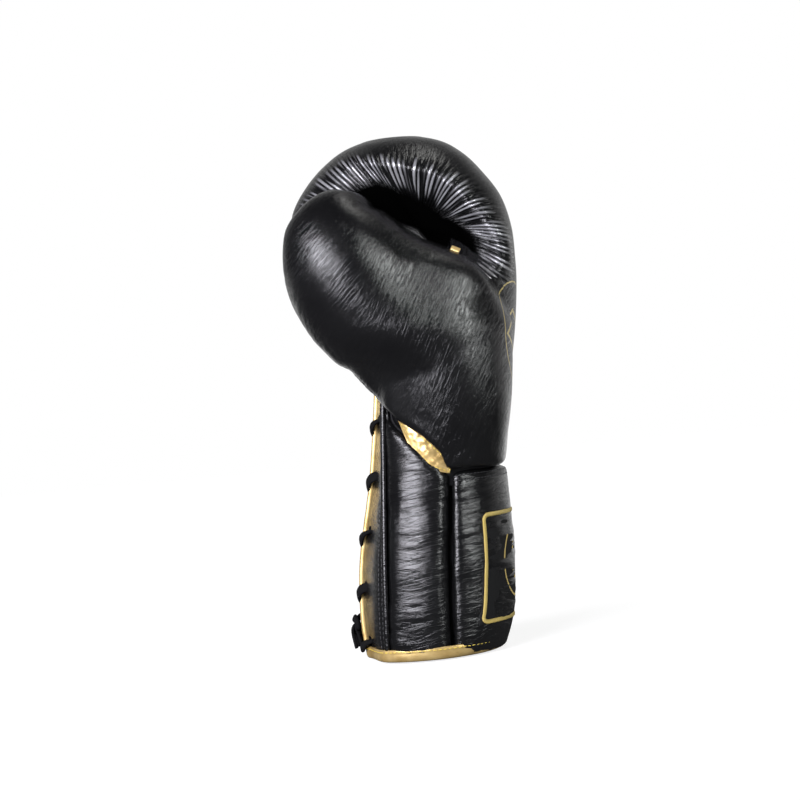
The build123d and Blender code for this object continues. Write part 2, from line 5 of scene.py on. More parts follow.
import bmesh
import bpy
import numpy as np
from mathutils import Matrix, Vector
from mathutils.kdtree import KDTree

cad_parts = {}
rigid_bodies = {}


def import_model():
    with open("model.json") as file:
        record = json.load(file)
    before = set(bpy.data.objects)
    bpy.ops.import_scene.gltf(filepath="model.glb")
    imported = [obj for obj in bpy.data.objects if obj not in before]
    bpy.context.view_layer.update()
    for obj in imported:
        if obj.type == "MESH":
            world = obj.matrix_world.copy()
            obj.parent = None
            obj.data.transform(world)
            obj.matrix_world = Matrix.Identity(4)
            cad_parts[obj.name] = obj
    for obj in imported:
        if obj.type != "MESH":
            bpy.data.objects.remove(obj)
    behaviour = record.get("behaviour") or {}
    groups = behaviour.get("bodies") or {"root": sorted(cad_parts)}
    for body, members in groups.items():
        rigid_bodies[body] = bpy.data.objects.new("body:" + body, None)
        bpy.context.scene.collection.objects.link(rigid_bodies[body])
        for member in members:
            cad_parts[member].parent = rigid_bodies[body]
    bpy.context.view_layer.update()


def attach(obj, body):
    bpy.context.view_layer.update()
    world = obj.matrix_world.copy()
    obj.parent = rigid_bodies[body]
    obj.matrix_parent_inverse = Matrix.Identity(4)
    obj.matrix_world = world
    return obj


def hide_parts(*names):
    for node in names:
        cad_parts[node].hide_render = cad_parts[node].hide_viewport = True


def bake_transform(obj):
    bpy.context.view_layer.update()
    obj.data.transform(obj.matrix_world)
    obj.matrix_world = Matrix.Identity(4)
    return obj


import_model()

MM = 0.001

# ------------------------------------------------------------------ studio
# A white sweep, lit by a large soft lamp on the left, a narrower one on the right and a faint
# one above and behind. It is seen from the thumb side, a little towards the back of the hand.
azimuth = radians(8)
roll = radians(5.5)
distance = 1.25
aim = Vector((-0.0045, 0, 0.1445))
level_right = Vector((cos(azimuth), sin(azimuth), 0))
away = Vector((-sin(azimuth), cos(azimuth), 0))
right = cos(roll) * level_right - sin(roll) * Vector((0, 0, 1))
up = sin(roll) * level_right + cos(roll) * Vector((0, 0, 1))
camera_data = bpy.data.cameras.new("camera")
camera_data.lens = 98.5
camera_data.sensor_width = 36


def in_scene(name, data):
    """An object at the origin that shows the data."""
    made = bpy.data.objects.new(name, data)
    bpy.context.scene.collection.objects.link(made)
    return made


camera = in_scene("camera", camera_data)
turned = Matrix((right, up, -away)).transposed().to_4x4()
camera.matrix_world = Matrix.Translation(aim - distance * away) @ turned
bpy.context.scene.camera = camera
bpy.context.scene.view_settings.view_transform = "Standard"


lamp_aim_height = 0.16


def lamp(name, place, size, power, colour):
    """A rectangular soft lamp that faces the glove."""
    data = bpy.data.lights.new(name, "AREA")
    data.shape = "RECTANGLE"
    data.size, data.size_y = size
    data.energy = power
    data.color = colour
    holder = in_scene(name, data)
    holder.location = place
    from_aim = Vector(place) - Vector((0, 0, lamp_aim_height))
    holder.rotation_euler = from_aim.to_track_quat("Z", "Y").to_euler()


lamp("key_lamp", (-0.56, -1.20, 0.42), (0.86, 0.86), 42, (0.93, 0.92, 1.0))
lamp("side_lamp", (1.22, -0.60, 0.36), (0.34, 0.85), 13, (0.97, 1.0, 0.99))
lamp("top_lamp", (0.40, 0.26, 1.25), (0.6, 0.22), 1.5, (1.0, 1.0, 0.97))


class Socket:
    """A node's output that can be used in sums, as a number would be."""

    def __init__(self, tree, socket):
        self.tree = tree
        self.socket = socket

    def math(self, operation, *others):
        node = self.tree.nodes.new("ShaderNodeMath")
        node.operation = operation
        for slot, value in zip(node.inputs, (self, *others)):
            if isinstance(value, Socket):
                self.tree.links.new(value.socket, slot)
            else:
                slot.default_value = value
        return Socket(self.tree, node.outputs[0])

    def __add__(self, other):
        return self.math("ADD", other)

    def __sub__(self, other):
        return self.math("SUBTRACT", other)

    def __mul__(self, other):
        return self.math("MULTIPLY", other)

    def __truediv__(self, other):
        return self.math("DIVIDE", other)

    def __rsub__(self, other):
        return (self * -1.0).math("ADD", other)

    __radd__ = __add__
    __rmul__ = __mul__

    def over(self, low, high):
        """0 below low, 1 above high, a straight ramp between."""
        node = self.tree.nodes.new("ShaderNodeMapRange")
        self.tree.links.new(self.socket, node.inputs["Value"])
        node.inputs["From Min"].default_value = low
        node.inputs["From Max"].default_value = high
        return Socket(self.tree, node.outputs["Result"])


class Finish:
    """A material that is built up node by node."""

    def __init__(self, name, **constants):
        self.material = bpy.data.materials.new(name)
        self.material.use_nodes = True
        self.tree = self.material.node_tree
        self.shader = self.tree.nodes["Principled BSDF"]
        for key, value in constants.items():
            self.shader.inputs[key.replace("_", " ")].default_value = value
        coordinates = self.tree.nodes.new("ShaderNodeTexCoord")
        self.place = Socket(self.tree, coordinates.outputs["Object"])
        self.flat = Socket(self.tree, coordinates.outputs["UV"])

    def node(self, kind, output, settings, **values):
        made = self.tree.nodes.new(kind)
        for key, value in settings.items():
            setattr(made, key, value)
        for key, value in values.items():
            slot = made.inputs[key.replace("_", " ")]
            if isinstance(value, Socket):
                self.tree.links.new(value.socket, slot)
            else:
                slot.default_value = value
        return Socket(self.tree, made.outputs[output])

    def stretched(self, size, turn=(0, 0, 0), source=None):
        """Coordinates for a pattern that is turned and then drawn out to size along its axes."""
        return self.node(
            "ShaderNodeMapping", "Vector", {"vector_type": "TEXTURE"},
            Vector=source or self.place, Rotation=turn, Scale=size,
        )

    def axes(self, source=None):
        split = self.tree.nodes.new("ShaderNodeSeparateXYZ")
        self.tree.links.new((source or self.place).socket, split.inputs[0])
        return [Socket(self.tree, split.outputs[i]) for i in range(3)]

    def painted(self, name):
        """A value that is stored at each point of the piece."""
        return self.node("ShaderNodeAttribute", "Fac", {"attribute_name": name})

    def mix(self, share, first, second):
        made = self.tree.nodes.new("ShaderNodeMix")
        made.data_type = "RGBA"
        self.tree.links.new(share.socket, made.inputs["Factor"])
        for slot, value in ((made.inputs[6], first), (made.inputs[7], second)):
            if isinstance(value, Socket):
                self.tree.links.new(value.socket, slot)
            else:
                slot.default_value = (*value, 1)
        return Socket(self.tree, made.outputs[2])

    def feed(self, **values):
        for key, value in values.items():
            self.tree.links.new(value.socket, self.shader.inputs[key.replace("_", " ")])

    def bump(self, height, depth, strength):
        return self.node(
            "ShaderNodeBump", "Normal", {}, Height=height, Distance=depth, Strength=strength
        )


def either_shader(tree, share, first, second, end):
    """Shows the first shader where share is 0 and the second where it is 1."""
    both = tree.nodes.new("ShaderNodeMixShader")
    for source, slot in zip((share.socket, first.outputs[0], second.outputs[0]), both.inputs):
        tree.links.new(source, slot)
    tree.links.new(both.outputs[0], tree.nodes[end].inputs["Surface"])


def seen_by_eye(tree):
    """1 where the camera, a mirror or a glass looks, 0 where light falls."""
    path = tree.nodes.new("ShaderNodeLightPath")
    ways = [Socket(tree, path.outputs[name]) for name in ("Is Camera Ray", "Is Glossy Ray")]
    clear = Socket(tree, path.outputs["Is Transmission Ray"])
    return ways[0], ways[1].math("MAXIMUM", clear)


# The floor is white to the eye and keeps the glove's soft shadow close to its rim.
studio_white = Finish("studio_white", Roughness=0.9, Base_Color=(0.7, 0.7, 0.7, 1), Emission_Strength=1.0)
from_glove = studio_white.node(
    "ShaderNodeVectorMath", "Value", {"operation": "LENGTH"}, Vector=studio_white.place
)
far_off = from_glove.over(0.10, 0.30)
studio_white.feed(
    Base_Color=studio_white.mix(far_off, (0.5, 0.5, 0.5), (0.0, 0.0, 0.0)),
    Emission_Color=studio_white.mix(far_off, (0.78, 0.78, 0.78), (1.0, 1.0, 1.0)),
)
plain = studio_white.tree.nodes.new("ShaderNodeBsdfDiffuse")
plain.inputs["Color"].default_value = (0.12, 0.12, 0.12, 1)
by_eye, by_mirror = seen_by_eye(studio_white.tree)
at_back = studio_white.axes()[1].over(0.2, 0.8)
either_shader(
    studio_white.tree, by_eye.math("MAXIMUM", by_mirror * at_back), plain, studio_white.shader,
    "Material Output",
)
floor_mesh = bpy.data.meshes.new("floor")
floor_corners = [(-4, -4, -0.001), (4, -4, -0.001), (4, 4, -0.001), (-4, 4, -0.001)]
floor_mesh.from_pydata(floor_corners, [], [(0, 1, 2, 3)])
floor = in_scene("floor", floor_mesh)
floor_mesh.materials.append(studio_white.material)

# The world is white to the camera all round. The glove mirrors that white only from behind
# it, where the sweep stands: the room on the camera's side is dark.
world = bpy.data.worlds.new("studio")
bpy.context.scene.world = world
world.use_nodes = True
surround = world.node_tree.nodes["Background"]
surround.inputs["Color"].default_value = (0.5, 0.5, 0.5, 1)
surround.inputs["Strength"].default_value = 0.07
seen = world.node_tree.nodes.new("ShaderNodeBackground")
seen.inputs["Color"].default_value = (1, 1, 1, 1)
direction = world.node_tree.nodes.new("ShaderNodeTexCoord")
split = world.node_tree.nodes.new("ShaderNodeSeparateXYZ")
world.node_tree.links.new(direction.outputs["Generated"], split.inputs[0])
behind = Socket(world.node_tree, split.outputs["Y"]).over(0.5, 0.95)
by_eye, by_mirror = seen_by_eye(world.node_tree)
mirrored_white = 0.5
either_shader(
    world.node_tree, by_eye.math("MAXIMUM", by_mirror * behind * mirrored_white), surround, seen,
    "World Output",
)

# ------------------------------------------------------------------ hand: black leather
# The hand's leather is one padded skin over the knuckles, the back and the palm. It is shaped
# here as a solid of stacked ovals on a grid, in millimetres, and its face is then meshed.
print_y, print_z = -0.0055, 0.1755
ring_radius = 0.0295
diamond_reach_y, diamond_reach_z = 0.026, 0.0135


def back_print(hide):
    """1 on a thin ring round a plain diamond, printed on the back of the hand. It reads the
    places that the leather's points had when it was cut, so that it bends with the leather."""
    x, y, z = (hide.painted(name) for name in ("hand_x", "hand_y", "hand_z"))
    y = y - print_y
    z = z - print_z
    ring = ((y * y + z * z).math("SQRT") - ring_radius).math("ABSOLUTE").math("LESS_THAN", 0.00045)
    aside, above = y.math("ABSOLUTE"), z.math("ABSOLUTE")
    diamond = (aside / diamond_reach_y + above / diamond_reach_z - 1.0).math("ABSOLUTE")
    return ring.math("MAXIMUM", diamond.math("LESS_THAN", 0.07)) * x.over(0.030, 0.031)


def black_hide(name, slopes, pitch, depth, sheen):
    """Black leather: grain, and fine creases at one slope on the palm side and another on the
    back, as seen from the thumb side, with a painted highlight on the pleat crests and painted
    shade in the hollow. Returns the finish and its height map."""
    hide = Finish(name, Specular_IOR_Level=sheen)
    grain = hide.node(
        "ShaderNodeTexVoronoi", "Distance", {"feature": "DISTANCE_TO_EDGE"}, Vector=hide.place, Scale=1300.0
    )
    soft = hide.node("ShaderNodeTexNoise", "Fac", {}, Vector=hide.place, Scale=330.0, Detail=4.0)
    rubbed = hide.node("ShaderNodeTexNoise", "Fac", {}, Vector=hide.place, Scale=30.0, Detail=3.0)
    lines = [
        hide.node(
            "ShaderNodeTexNoise", "Fac", {}, Detail=4.0, Roughness=0.6, Scale=1 / pitch, Distortion=0.25,
            Vector=hide.stretched((10.0, 5.0, 1.0), (0, -slope, 0)),
        ).over(0.42, 0.56)
        for slope in slopes
    ]
    to_back = hide.axes()[0].over(-0.022, 0.012)
    creased = lines[0] * (1.0 - to_back) + lines[1] * to_back
    # Painted highlight: where the crest value is painted, on the pleat ridges, the colour turns light grey
    # and metallic, so that the ridges glint whatever the lamps do.
    crest = hide.painted("crest")
    printed = back_print(hide)
    colour = hide.mix(rubbed.over(0.35, 0.7), (0.0032, 0.0032, 0.0036), (0.006, 0.0062, 0.0064))
    colour = hide.mix(printed, colour, (0.52, 0.41, 0.16))
    hide.feed(
        Base_Color=hide.mix(crest, colour, (0.42, 0.42, 0.44)),
        Metallic=crest * 0.55 + printed * 0.35,
        Roughness=rubbed.over(0.3, 0.75) * 0.06 + soft * 0.1 + 0.15,
    )
    # Painted shade: deep in the hollow the leather gives way to a near-black plain shader.
    shade = hide.tree.nodes.new("ShaderNodeBsdfDiffuse")
    shade.inputs["Color"].default_value = (0.0006, 0.0006, 0.0006, 1)
    either_shader(hide.tree, hide.painted("hollow_shade"), hide.shader, shade, "Material Output")
    worn = rubbed.over(0.3, 0.62) * 0.5 + 0.5
    return hide, grain.over(0.0, 0.3) * 0.16 + soft * 0.2 + creased * worn, depth


black_leather, hide_height, hide_depth = black_hide(
    "black_leather", (radians(44), radians(63)), 0.00115, 0.00015, 0.5
)
gathers = black_leather.node(
    "ShaderNodeTexNoise", "Fac", {}, Detail=3.0, Roughness=0.55, Scale=1.0,
    Vector=black_leather.stretched((1.5, 14.0, 1.0), source=black_leather.flat),
)
gathered = black_leather.painted("gathered")
black_leather.feed(
    Normal=black_leather.bump(
        hide_height * (1.0 - gathered * 0.75) + gathers.over(0.36, 0.6) * gathered * 1.8, hide_depth, 0.8
    )
)

STEP = 1.3
LOW = np.array([-67.5, -96.0, -5.5])
COUNT = np.array([112, 128, 234])
axis_x, axis_y, axis_z = (LOW[i] + STEP * np.arange(COUNT[i]) for i in range(3))
X, Y, Z = np.meshgrid(axis_x, axis_y, axis_z, indexing="ij", sparse=True)


def through(levels, values, at):
    """A smooth curve through values at levels, read at the heights in at."""
    levels = np.array(levels, float)
    values = np.array(values, float)
    slopes = np.gradient(values, levels)
    place = np.clip(np.searchsorted(levels, at, side="right") - 1, 0, len(levels) - 2)
    span = levels[place + 1] - levels[place]
    t = np.clip((at - levels[place]) / span, 0, 1)
    a, b = values[place], values[place + 1]
    ma, mb = slopes[place] * span, slopes[place + 1] * span
    return (
        (2 * t**3 - 3 * t**2 + 1) * a + (t**3 - 2 * t**2 + t) * ma
        + (3 * t**2 - 2 * t**3) * b + (t**3 - t**2) * mb
    )


def true_distance(field):
    """The field, evened out so that it grows by about one for each millimetre."""
    steep = np.maximum(np.sqrt(sum(g**2 for g in np.gradient(field, STEP))), 0.35)
    near = np.clip((9.0 - np.abs(field)) / 5.0, 0, 1)
    return (field / (near * steep + (1 - near) * np.minimum(steep, 1))).astype(np.float32)


def stacked(outline):
    """Distance to a form of stacked ovals: rows of height, centre x and y, half depth, half width."""
    rows = np.array(outline, float)
    heights = rows[:, 0]
    cx, cy = (through(heights, rows[:, i], axis_z)[None, None, :] for i in (1, 2))
    rx, ry = (
        np.sqrt(np.maximum(through(heights, rows[:, i] ** 2, axis_z), 0.3))[None, None, :] for i in (3, 4)
    )
    span = np.sqrt(((X - cx) / rx) ** 2 + ((Y - cy) / ry) ** 2)
    field = (span - 1) * np.minimum(rx, ry)
    return true_distance(np.maximum(field, np.maximum(Z - heights[-1], heights[0] - Z)))


def joined(a, b, soft):
    """Union of two forms with a rounded valley."""
    share = np.clip(0.5 + 0.5 * (b - a) / soft, 0, 1)
    return b + (a - b) * share - soft * share * (1 - share)


def common(a, b, soft):
    """What two forms share, with a rounded edge."""
    return -joined(-a, -b, soft)


def ramp(low, high, value):
    """0 at low, 1 at high, easing in and out."""
    t = np.clip((value - low) / (high - low), 0, 1)
    return t * t * (3 - 2 * t)


def face_of(field):
    """Points and four-sided faces of the surface where the field is zero."""
    inside = field < 0
    cells = np.zeros(np.array(field.shape) - 1, np.int8)
    corners = [(i, j, k) for i in (0, 1) for j in (0, 1) for k in (0, 1)]

    def window(corner, values):
        """The values at one corner of every cell."""
        i, j, k = corner
        nx, ny, nz = cells.shape
        return values[i:nx + i, j:ny + j, k:nz + k]

    for corner in corners:
        cells += window(corner, inside)
    mixed = (cells > 0) & (cells < 8)
    found = np.argwhere(mixed)
    number = np.full(cells.shape, -1)
    number[mixed] = np.arange(len(found))
    total = np.zeros((len(found), 4))
    for corner in corners:
        for d in range(3):
            if corner[d]:
                continue
            end = tuple(1 if n == d else corner[n] for n in range(3))
            fa = window(corner, field)[mixed]
            fb = window(end, field)[mixed]
            cross = (fa < 0) != (fb < 0)
            spot = np.tile(np.array([*corner, 1], float), (cross.sum(), 1))
            spot[:, d] += fa[cross] / (fa[cross] - fb[cross])
            total[cross] += spot
    points = LOW + STEP * (found + total[:, :3] / total[:, 3:])
    faces = []
    for d in range(3):
        u, v = (d + 1) % 3, (d + 2) % 3
        first = np.moveaxis(inside, (d, u, v), (0, 1, 2))
        label = np.moveaxis(number, (d, u, v), (0, 1, 2))
        a, b = first[:-1, 1:-1, 1:-1], first[1:, 1:-1, 1:-1]
        quad = np.stack([label[:, :-1, :-1], label[:, 1:, :-1], label[:, 1:, 1:], label[:, :-1, 1:]], -1)
        faces.append(quad[a & ~b])
        faces.append(quad[~a & b][:, ::-1])
    return points, np.concatenate(faces)


def mesh_piece(name, points, faces, finish):
    """A mesh object from points in millimetres."""
    mesh = bpy.data.meshes.new(name)
    mesh.from_pydata((np.asarray(points) * MM).tolist(), [], [list(face) for face in faces])
    mesh.validate()
    mesh.materials.append(finish.material)
    mesh.polygons.foreach_set("use_smooth", [True] * len(mesh.polygons))
    return in_scene(name, mesh)


def places_of(piece):
    """The piece's points, in millimetres."""
    flat = np.empty(3 * len(piece.data.vertices))
    piece.data.vertices.foreach_get("co", flat)
    return flat.reshape(-1, 3) / MM


def directions_of(piece):
    """The piece's unit normals at its points."""
    flat = np.empty(3 * len(piece.data.vertices))
    piece.data.vertex_normals.foreach_get("vector", flat)
    return flat.reshape(-1, 3)


def moved_to(piece, points):
    """Puts the piece's points at new places, in millimetres."""
    piece.data.vertices.foreach_set("co", (points * MM).ravel())
    piece.data.update()


lattice = np.random.default_rng(7).random((32, 32, 32))


def noise(points, size):
    """Smooth random values from 0 to 1 that change over size millimetres."""
    place = points / size
    base = np.floor(place).astype(int)
    part = place - base
    part = part * part * (3 - 2 * part)
    total = 0
    for i in (0, 1):
        for j in (0, 1):
            for k in (0, 1):
                weight = (
                    (part[:, 0] if i else 1 - part[:, 0])
                    * (part[:, 1] if j else 1 - part[:, 1])
                    * (part[:, 2] if k else 1 - part[:, 2])
                )
                spot = ((base + (i, j, k)) % 32).T
                total = total + weight * lattice[tuple(spot)]
    return total


def relaxed(points, faces, rounds, share=0.5):
    """Points drawn towards their neighbours' middle, then pushed back out so that nothing shrinks."""
    ends = np.concatenate([faces[:, [i, (i + 1) % 4]] for i in range(4)])
    count = np.maximum(np.bincount(ends[:, 0], minlength=len(points)), 1)[:, None]
    for turn in range(2 * rounds):
        middle = np.stack(
            [np.bincount(ends[:, 0], points[ends[:, 1], i], minlength=len(points)) for i in range(3)], 1
        )
        points = points + (share if turn % 2 == 0 else -share * 0.9) * (middle / count - points)
    return points


def applied(piece):
    """Turns the piece's modifiers into plain mesh."""
    graph = bpy.context.evaluated_depsgraph_get()
    made = bpy.data.meshes.new_from_object(piece.evaluated_get(graph))
    made.name = piece.name
    piece.modifiers.clear()
    piece.data = made
    made.polygons.foreach_set("use_smooth", [True] * len(made.polygons))


swell_voxel = 0.005
swell_pressure = 4
swell_frames = 20


def plumped(piece, most):
    """Fills a padded piece out as its stuffing does: air pressure swells a coarse cloth copy of
    it, and the piece follows by most millimetres or less."""
    scene = bpy.context.scene
    copy = in_scene(piece.name + "_copy", piece.data.copy())
    coarse = copy.modifiers.new("coarse", "REMESH")
    coarse.mode = "VOXEL"
    coarse.voxel_size = swell_voxel
    applied(copy)
    flat = places_of(copy)
    cloth = copy.modifiers.new("cloth", "CLOTH")
    cloth.settings.use_pressure = True
    cloth.settings.uniform_pressure_force = swell_pressure
    cloth.settings.effector_weights.gravity = 0
    for moment in range(1, swell_frames + 1):
        scene.frame_set(moment)
    applied(copy)
    scene.frame_set(1)
    shift = places_of(copy) - flat
    shift *= np.minimum(1, most / np.maximum(np.linalg.norm(shift, axis=1, keepdims=True), 1e-6))
    near_to = KDTree(len(flat))
    for number, place in enumerate(flat):
        near_to.insert(place, number)
    near_to.balance()
    places = places_of(piece)
    follow = np.empty_like(places)
    for number, place in enumerate(places):
        found = near_to.find_n(place, 5)
        weights = np.array([1 / (0.5 + away_by) ** 2 for _, _, away_by in found])
        follow[number] = weights @ shift[[index for _, index, _ in found]] / weights.sum()
    moved_to(piece, places + follow)
    bpy.data.objects.remove(copy)


hand_outline = [
    (92, 10, 0, 38.5, 45.5),
    (110, 12, 0.2, 40, 47.8),
    (130, 15.7, 0.7, 39.2, 49.8),
    (150, 18.5, 1.5, 40.5, 52.5),
    (175, 20, 3, 44, 54),
    (198, 14.5, 5, 52.5, 55),
    (218, 7, 6.5, 61, 54.5),
    (238, 4.5, 7, 63, 54),
    (256, 3, 6.5, 59.8, 50.5),
    (270, 3, 6, 51, 44),
    (282, 4, 6, 39.5, 33.5),
    (290, 4.5, 6, 26.5, 21.5),
    (294.6, 4.5, 6, 0.5, 0.5),
]
wrist_edge = common(common(-(X + 5.0), (24.0 - X) * 0.7071 + (103.5 - Z) * 0.7071, 3.0), 103.5 - Z, 3.0)
over_wrist = joined(wrist_edge, 172.8 - Z + 0 * X, 2.0) + 0 * Y
hand = common(stacked(hand_outline), over_wrist, 6.0)

# Above the fold beside the thumb the leather turns in over a lip, where it is gathered in
# pleats that fan out from the middle of the fold, and then sinks into a deep hollow.
fold_x, fold_z = 20.0, 238.0
lip_places = [
    (54, 208), (59.8, 216.5), (60.5, 228), (54.2, 239), (45.3, 249), (35.3, 260),
    (18.4, 267.3), (3.5, 272), (-11.6, 275.7), (-33.7, 263.4), (-48, 252),
]


def way_along(line):
    """How far each point of a flat line is along it."""
    return np.concatenate([[0], np.cumsum(np.hypot(*np.diff(np.array(line, float), axis=0).T))])


lip_turns = [np.degrees(np.arctan2(z - fold_z, x - fold_x)) for x, z in lip_places]
lip_reach = [np.hypot(x - fold_x, z - fold_z) for x, z in lip_places]
lip_length = way_along(lip_places)
sink_share = [0.5, 0.7, 0.9, 1.0, 1.0, 1.0, 1.0, 0.9, 0.6, 0.25, 0.0]


def by_the_lip(x, y, z):
    """Way along the lip, distance outside it, the hollow's share there, and nearness to the thumb side."""
    turn = np.degrees(np.arctan2(z - fold_z, x - fold_x))
    outside = np.hypot(x - fold_x, z - fold_z) - np.interp(turn, lip_turns, lip_reach)
    way = np.interp(turn, lip_turns, lip_length)
    share = np.interp(turn, lip_turns, sink_share) * ramp(-62, -40, turn) * ramp(176, 160, turn)
    return way, outside, share * ramp(198, 214, z), ramp(8.0, -14.0, y)


_, lip_distance, lip_share, thumb_side = by_the_lip(X, Y, Z)
lip_swell = 2.0 * np.exp(-(((lip_distance - 6.0) / 7.0) ** 2))
hollow_depth = 20.0
hollow = hollow_depth * ramp(7.0, -19.0, lip_distance)
hand = hand + (hollow - lip_swell) * lip_share * thumb_side
hand = hand.astype(np.float32)

points, faces = face_of(hand)
points = relaxed(points, faces, 3)
hand_leather = mesh_piece("hand_leather", points, faces, black_leather)

# Finer faces where the pleats are, so that each is a real ridge
pleat_pitch = 2.5
work = bmesh.new()
work.from_mesh(hand_leather.data)
places = places_of(hand_leather)
way, outside, share, near = by_the_lip(*places.T)
in_band = (outside > -19) & (outside < 14) & (near > 0.25) & (share > 0.02)
edges = [edge for edge in work.edges if all(in_band[end.index] for end in edge.verts)]
bmesh.ops.subdivide_edges(work, edges=edges, cuts=3, use_grid_fill=True)
work.to_mesh(hand_leather.data)
work.free()
places = places_of(hand_leather)
way, outside, share, near = by_the_lip(*places.T)
wander = np.stack([way, outside * 0.25, 0 * way], 1)
phase = way / pleat_pitch + 1.1 * noise(wander + 5, 7.0) + 0.05 * outside
ridge = np.abs(np.sin(pi * phase)) ** 0.8 - 0.6
each = 0.45 + 1.1 * noise(wander * np.array([1, 0.3, 1]) + 40, 3.4)
held = ramp(-19, -10, outside) * ramp(14, 5, outside) * near * ramp(0.02, 0.3, share)
rise = 1.3 * ridge * each * held + 0.8 * (noise(places, 36.0) - 0.5)
moved_to(hand_leather, places + directions_of(hand_leather) * rise[:, None])
# Painted highlight: bright streaks of varied length along the pleat ridges, stored as the crest value, which
# the finish shows light and metallic.
lengths = 5.0 * noise(wander * np.array([1, 0.0, 1]) + 130, 2.2)
glint_streak = ramp(0.3, 0.66, noise(wander * np.array([1, 0.25, 1]) + 80, 1.9)) * ramp(0.0, 0.38, ridge)
painted_glint = (
    glint_streak * ramp(-14, -7, outside - lengths) * ramp(13, 6, outside + lengths)
    * near * ramp(0.02, 0.3, share)
)


def painted_on(piece, name, values):
    """Stores a value for each of the piece's points, which its finish reads by name."""
    paint = piece.data.attributes.new(name, "FLOAT", "POINT")
    paint.data.foreach_set("value", values)


def left_plain(piece, *names):
    """Stores nought for the values that the leather's finish reads and this piece lacks."""
    for name in names:
        painted_on(piece, name, np.zeros(len(piece.data.vertices)))


def keeps_place(piece):
    """Stores each point's place in metres, for the print on the back of the hand."""
    for name, values in zip(("hand_x", "hand_y", "hand_z"), places_of(piece).T * MM):
        painted_on(piece, name, values)


def gathers_on(piece, strength):
    """Stores the fan of creases: a UV map along the lip and out from it, and how strong it is. It also
    stores where the hollow gets its painted shade.
    """
    way, outside, share, near = by_the_lip(*places_of(piece).T)
    layer = piece.data.uv_layers.new(name="fan")
    corners = np.empty(len(piece.data.loops), int)
    piece.data.loops.foreach_get("vertex_index", corners)
    layer.data.foreach_set("uv", np.stack([way, outside], 1)[corners].ravel())
    painted_on(piece, "gathered", strength(way, outside, share, near))
    # Painted shade: 1 well inside the lip, where the finish shows near-black instead of leather.
    painted_on(piece, "hollow_shade", ramp(-8, -15, outside) * near * ramp(0.0, 0.3, share))


gathers_on(
    hand_leather,
    lambda way, outside, share, near: ramp(34, 2, outside) * near * ramp(0.0, 0.3, share),
)
painted_on(hand_leather, "crest", painted_glint)
keeps_place(hand_leather)
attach(hand_leather, "hand")
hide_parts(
    "knuckle_cover", "hand_back_cover", "palm_cover",
    "knuckle_pad_outer", "knuckle_pad_inner", "finger_pad", "back_hand_pad", "palm_pad",
)

# ------------------------------------------------------------------ thumb and side pad
# The thumb and the pad on the hand's thumb side are one padded leather form. It is sewn on
# over the fist, meets it in a sharp crease in front, and runs out smoothly into the back.
side_outline = [
    (100, 24, -27, 21, 20),
    (115, 20.5, -28.5, 29, 26),
    (135, 18.5, -29, 37, 30.5),
    (165, 14.5, -31, 44, 34.5),
    (195, 13, -33, 45, 33.5),
    (212, 12, -35, 42.5, 30),
    (226, 6, -37, 35, 25),
    (239, -4, -40, 23, 18),
    (251, -10, -42, 0.5, 0.5),
]
thumb_outline = [
    (136, 15, -36, 6, 3),
    (150, 7, -43, 19, 10),
    (165, -1, -49, 24.8, 17.5),
    (185, -13, -55, 27.6, 23.0),
    (205, -21, -60, 29, 26.3),
    (225, -23.5, -62, 28.6, 27),
    (242, -24.5, -61.5, 24.5, 23.2),
    (253, -24.3, -61, 17, 16.5),
    (261.5, -24, -60.5, 0.5, 0.5),
]
cuff_levels = [0, 16, 45, 103, 184]
cuff_palm = [-40.25, -41.4, -40, -28.5, -17]
cuff_back = [40.25, 46.2, 50, 50.5, 56]
cuff_half = [44.5, 47.5, 50, 50, 50]
cuff = stacked([
    (level, (palm + back) / 2, 0, (back - palm) / 2, half)
    for level, palm, back, half in zip(cuff_levels, cuff_palm, cuff_back, cuff_half)
])
hem_x = [-62, -50, -41, -28, -12.3, 0.0, 13.6, 22.8, 25.2, 40]
hem_z = [226, 199.5, 181.5, 164.5, 148.6, 133.8, 123.2, 113.2, 104.6, 104.0]
over_hem = (np.interp(axis_x, hem_x, hem_z)[:, None, None] - Z) * 0.72
side_pad = common(stacked(side_outline), common(over_wrist, over_hem, 2.0), 5.0)
thumb = common(stacked(thumb_outline), 4.5 - cuff - 40.0 * (Z > 186), 4.0)
crest_x = [-60, -30, -3, 18, 31, 58, 90]
crest_z = [262, 262, 253, 238, 225.5, 213, 208]
crest = np.interp(axis_x, crest_x, crest_z)[:, None, None]
run_out = 1.0 + 22.0 * ramp(2.0, 34.0, crest - Z) * ramp(-34.0, 4.0, X + 0.35 * (205.0 - Z))
pads = joined(side_pad, thumb, 5.0 + 29.0 * ramp(150, 186, Z))
top_x = [-60, -10, -3, 16.4, 28, 40.5, 49, 58, 70]
top_z = [340, 290, 258, 238.5, 231.5, 225, 218, 206, 192]
pads = common(pads, (Z - np.interp(axis_x, top_x, top_z)[:, None, None]) * 0.85, 9.0)
padded_side = joined(pads, hand + 0.35, run_out)
padded_side = common(padded_side, over_hem - 0.6, 3.0)
padded_side = common(common(padded_side, -3.0 - hand, 1.0), pads - 9.0 - 30.0 * ramp(140, 118, Z), 1.0)
points, faces = face_of(padded_side)
points = relaxed(points, faces, 3)
thumb_and_side = mesh_piece("thumb_and_side_leather", points, faces, black_leather)
plumped(thumb_and_side, 1.2)
places = places_of(thumb_and_side)


def leather_lines(places, pitch, depth, slope, seed):
    """Creases that run at a slope, deeper in some places than in others."""
    across = places @ np.array([-sin(slope), 0.15, cos(slope)])
    bend = 3.0 * noise(places + seed, 22.0) + 1.2 * noise(places + seed + 50, 9.0)
    wave = np.abs(np.sin(pi * (across / pitch + bend)))
    return -depth * (1 - wave) ** 3 * ramp(0.4, 0.75, noise(places + seed + 90, 17.0))


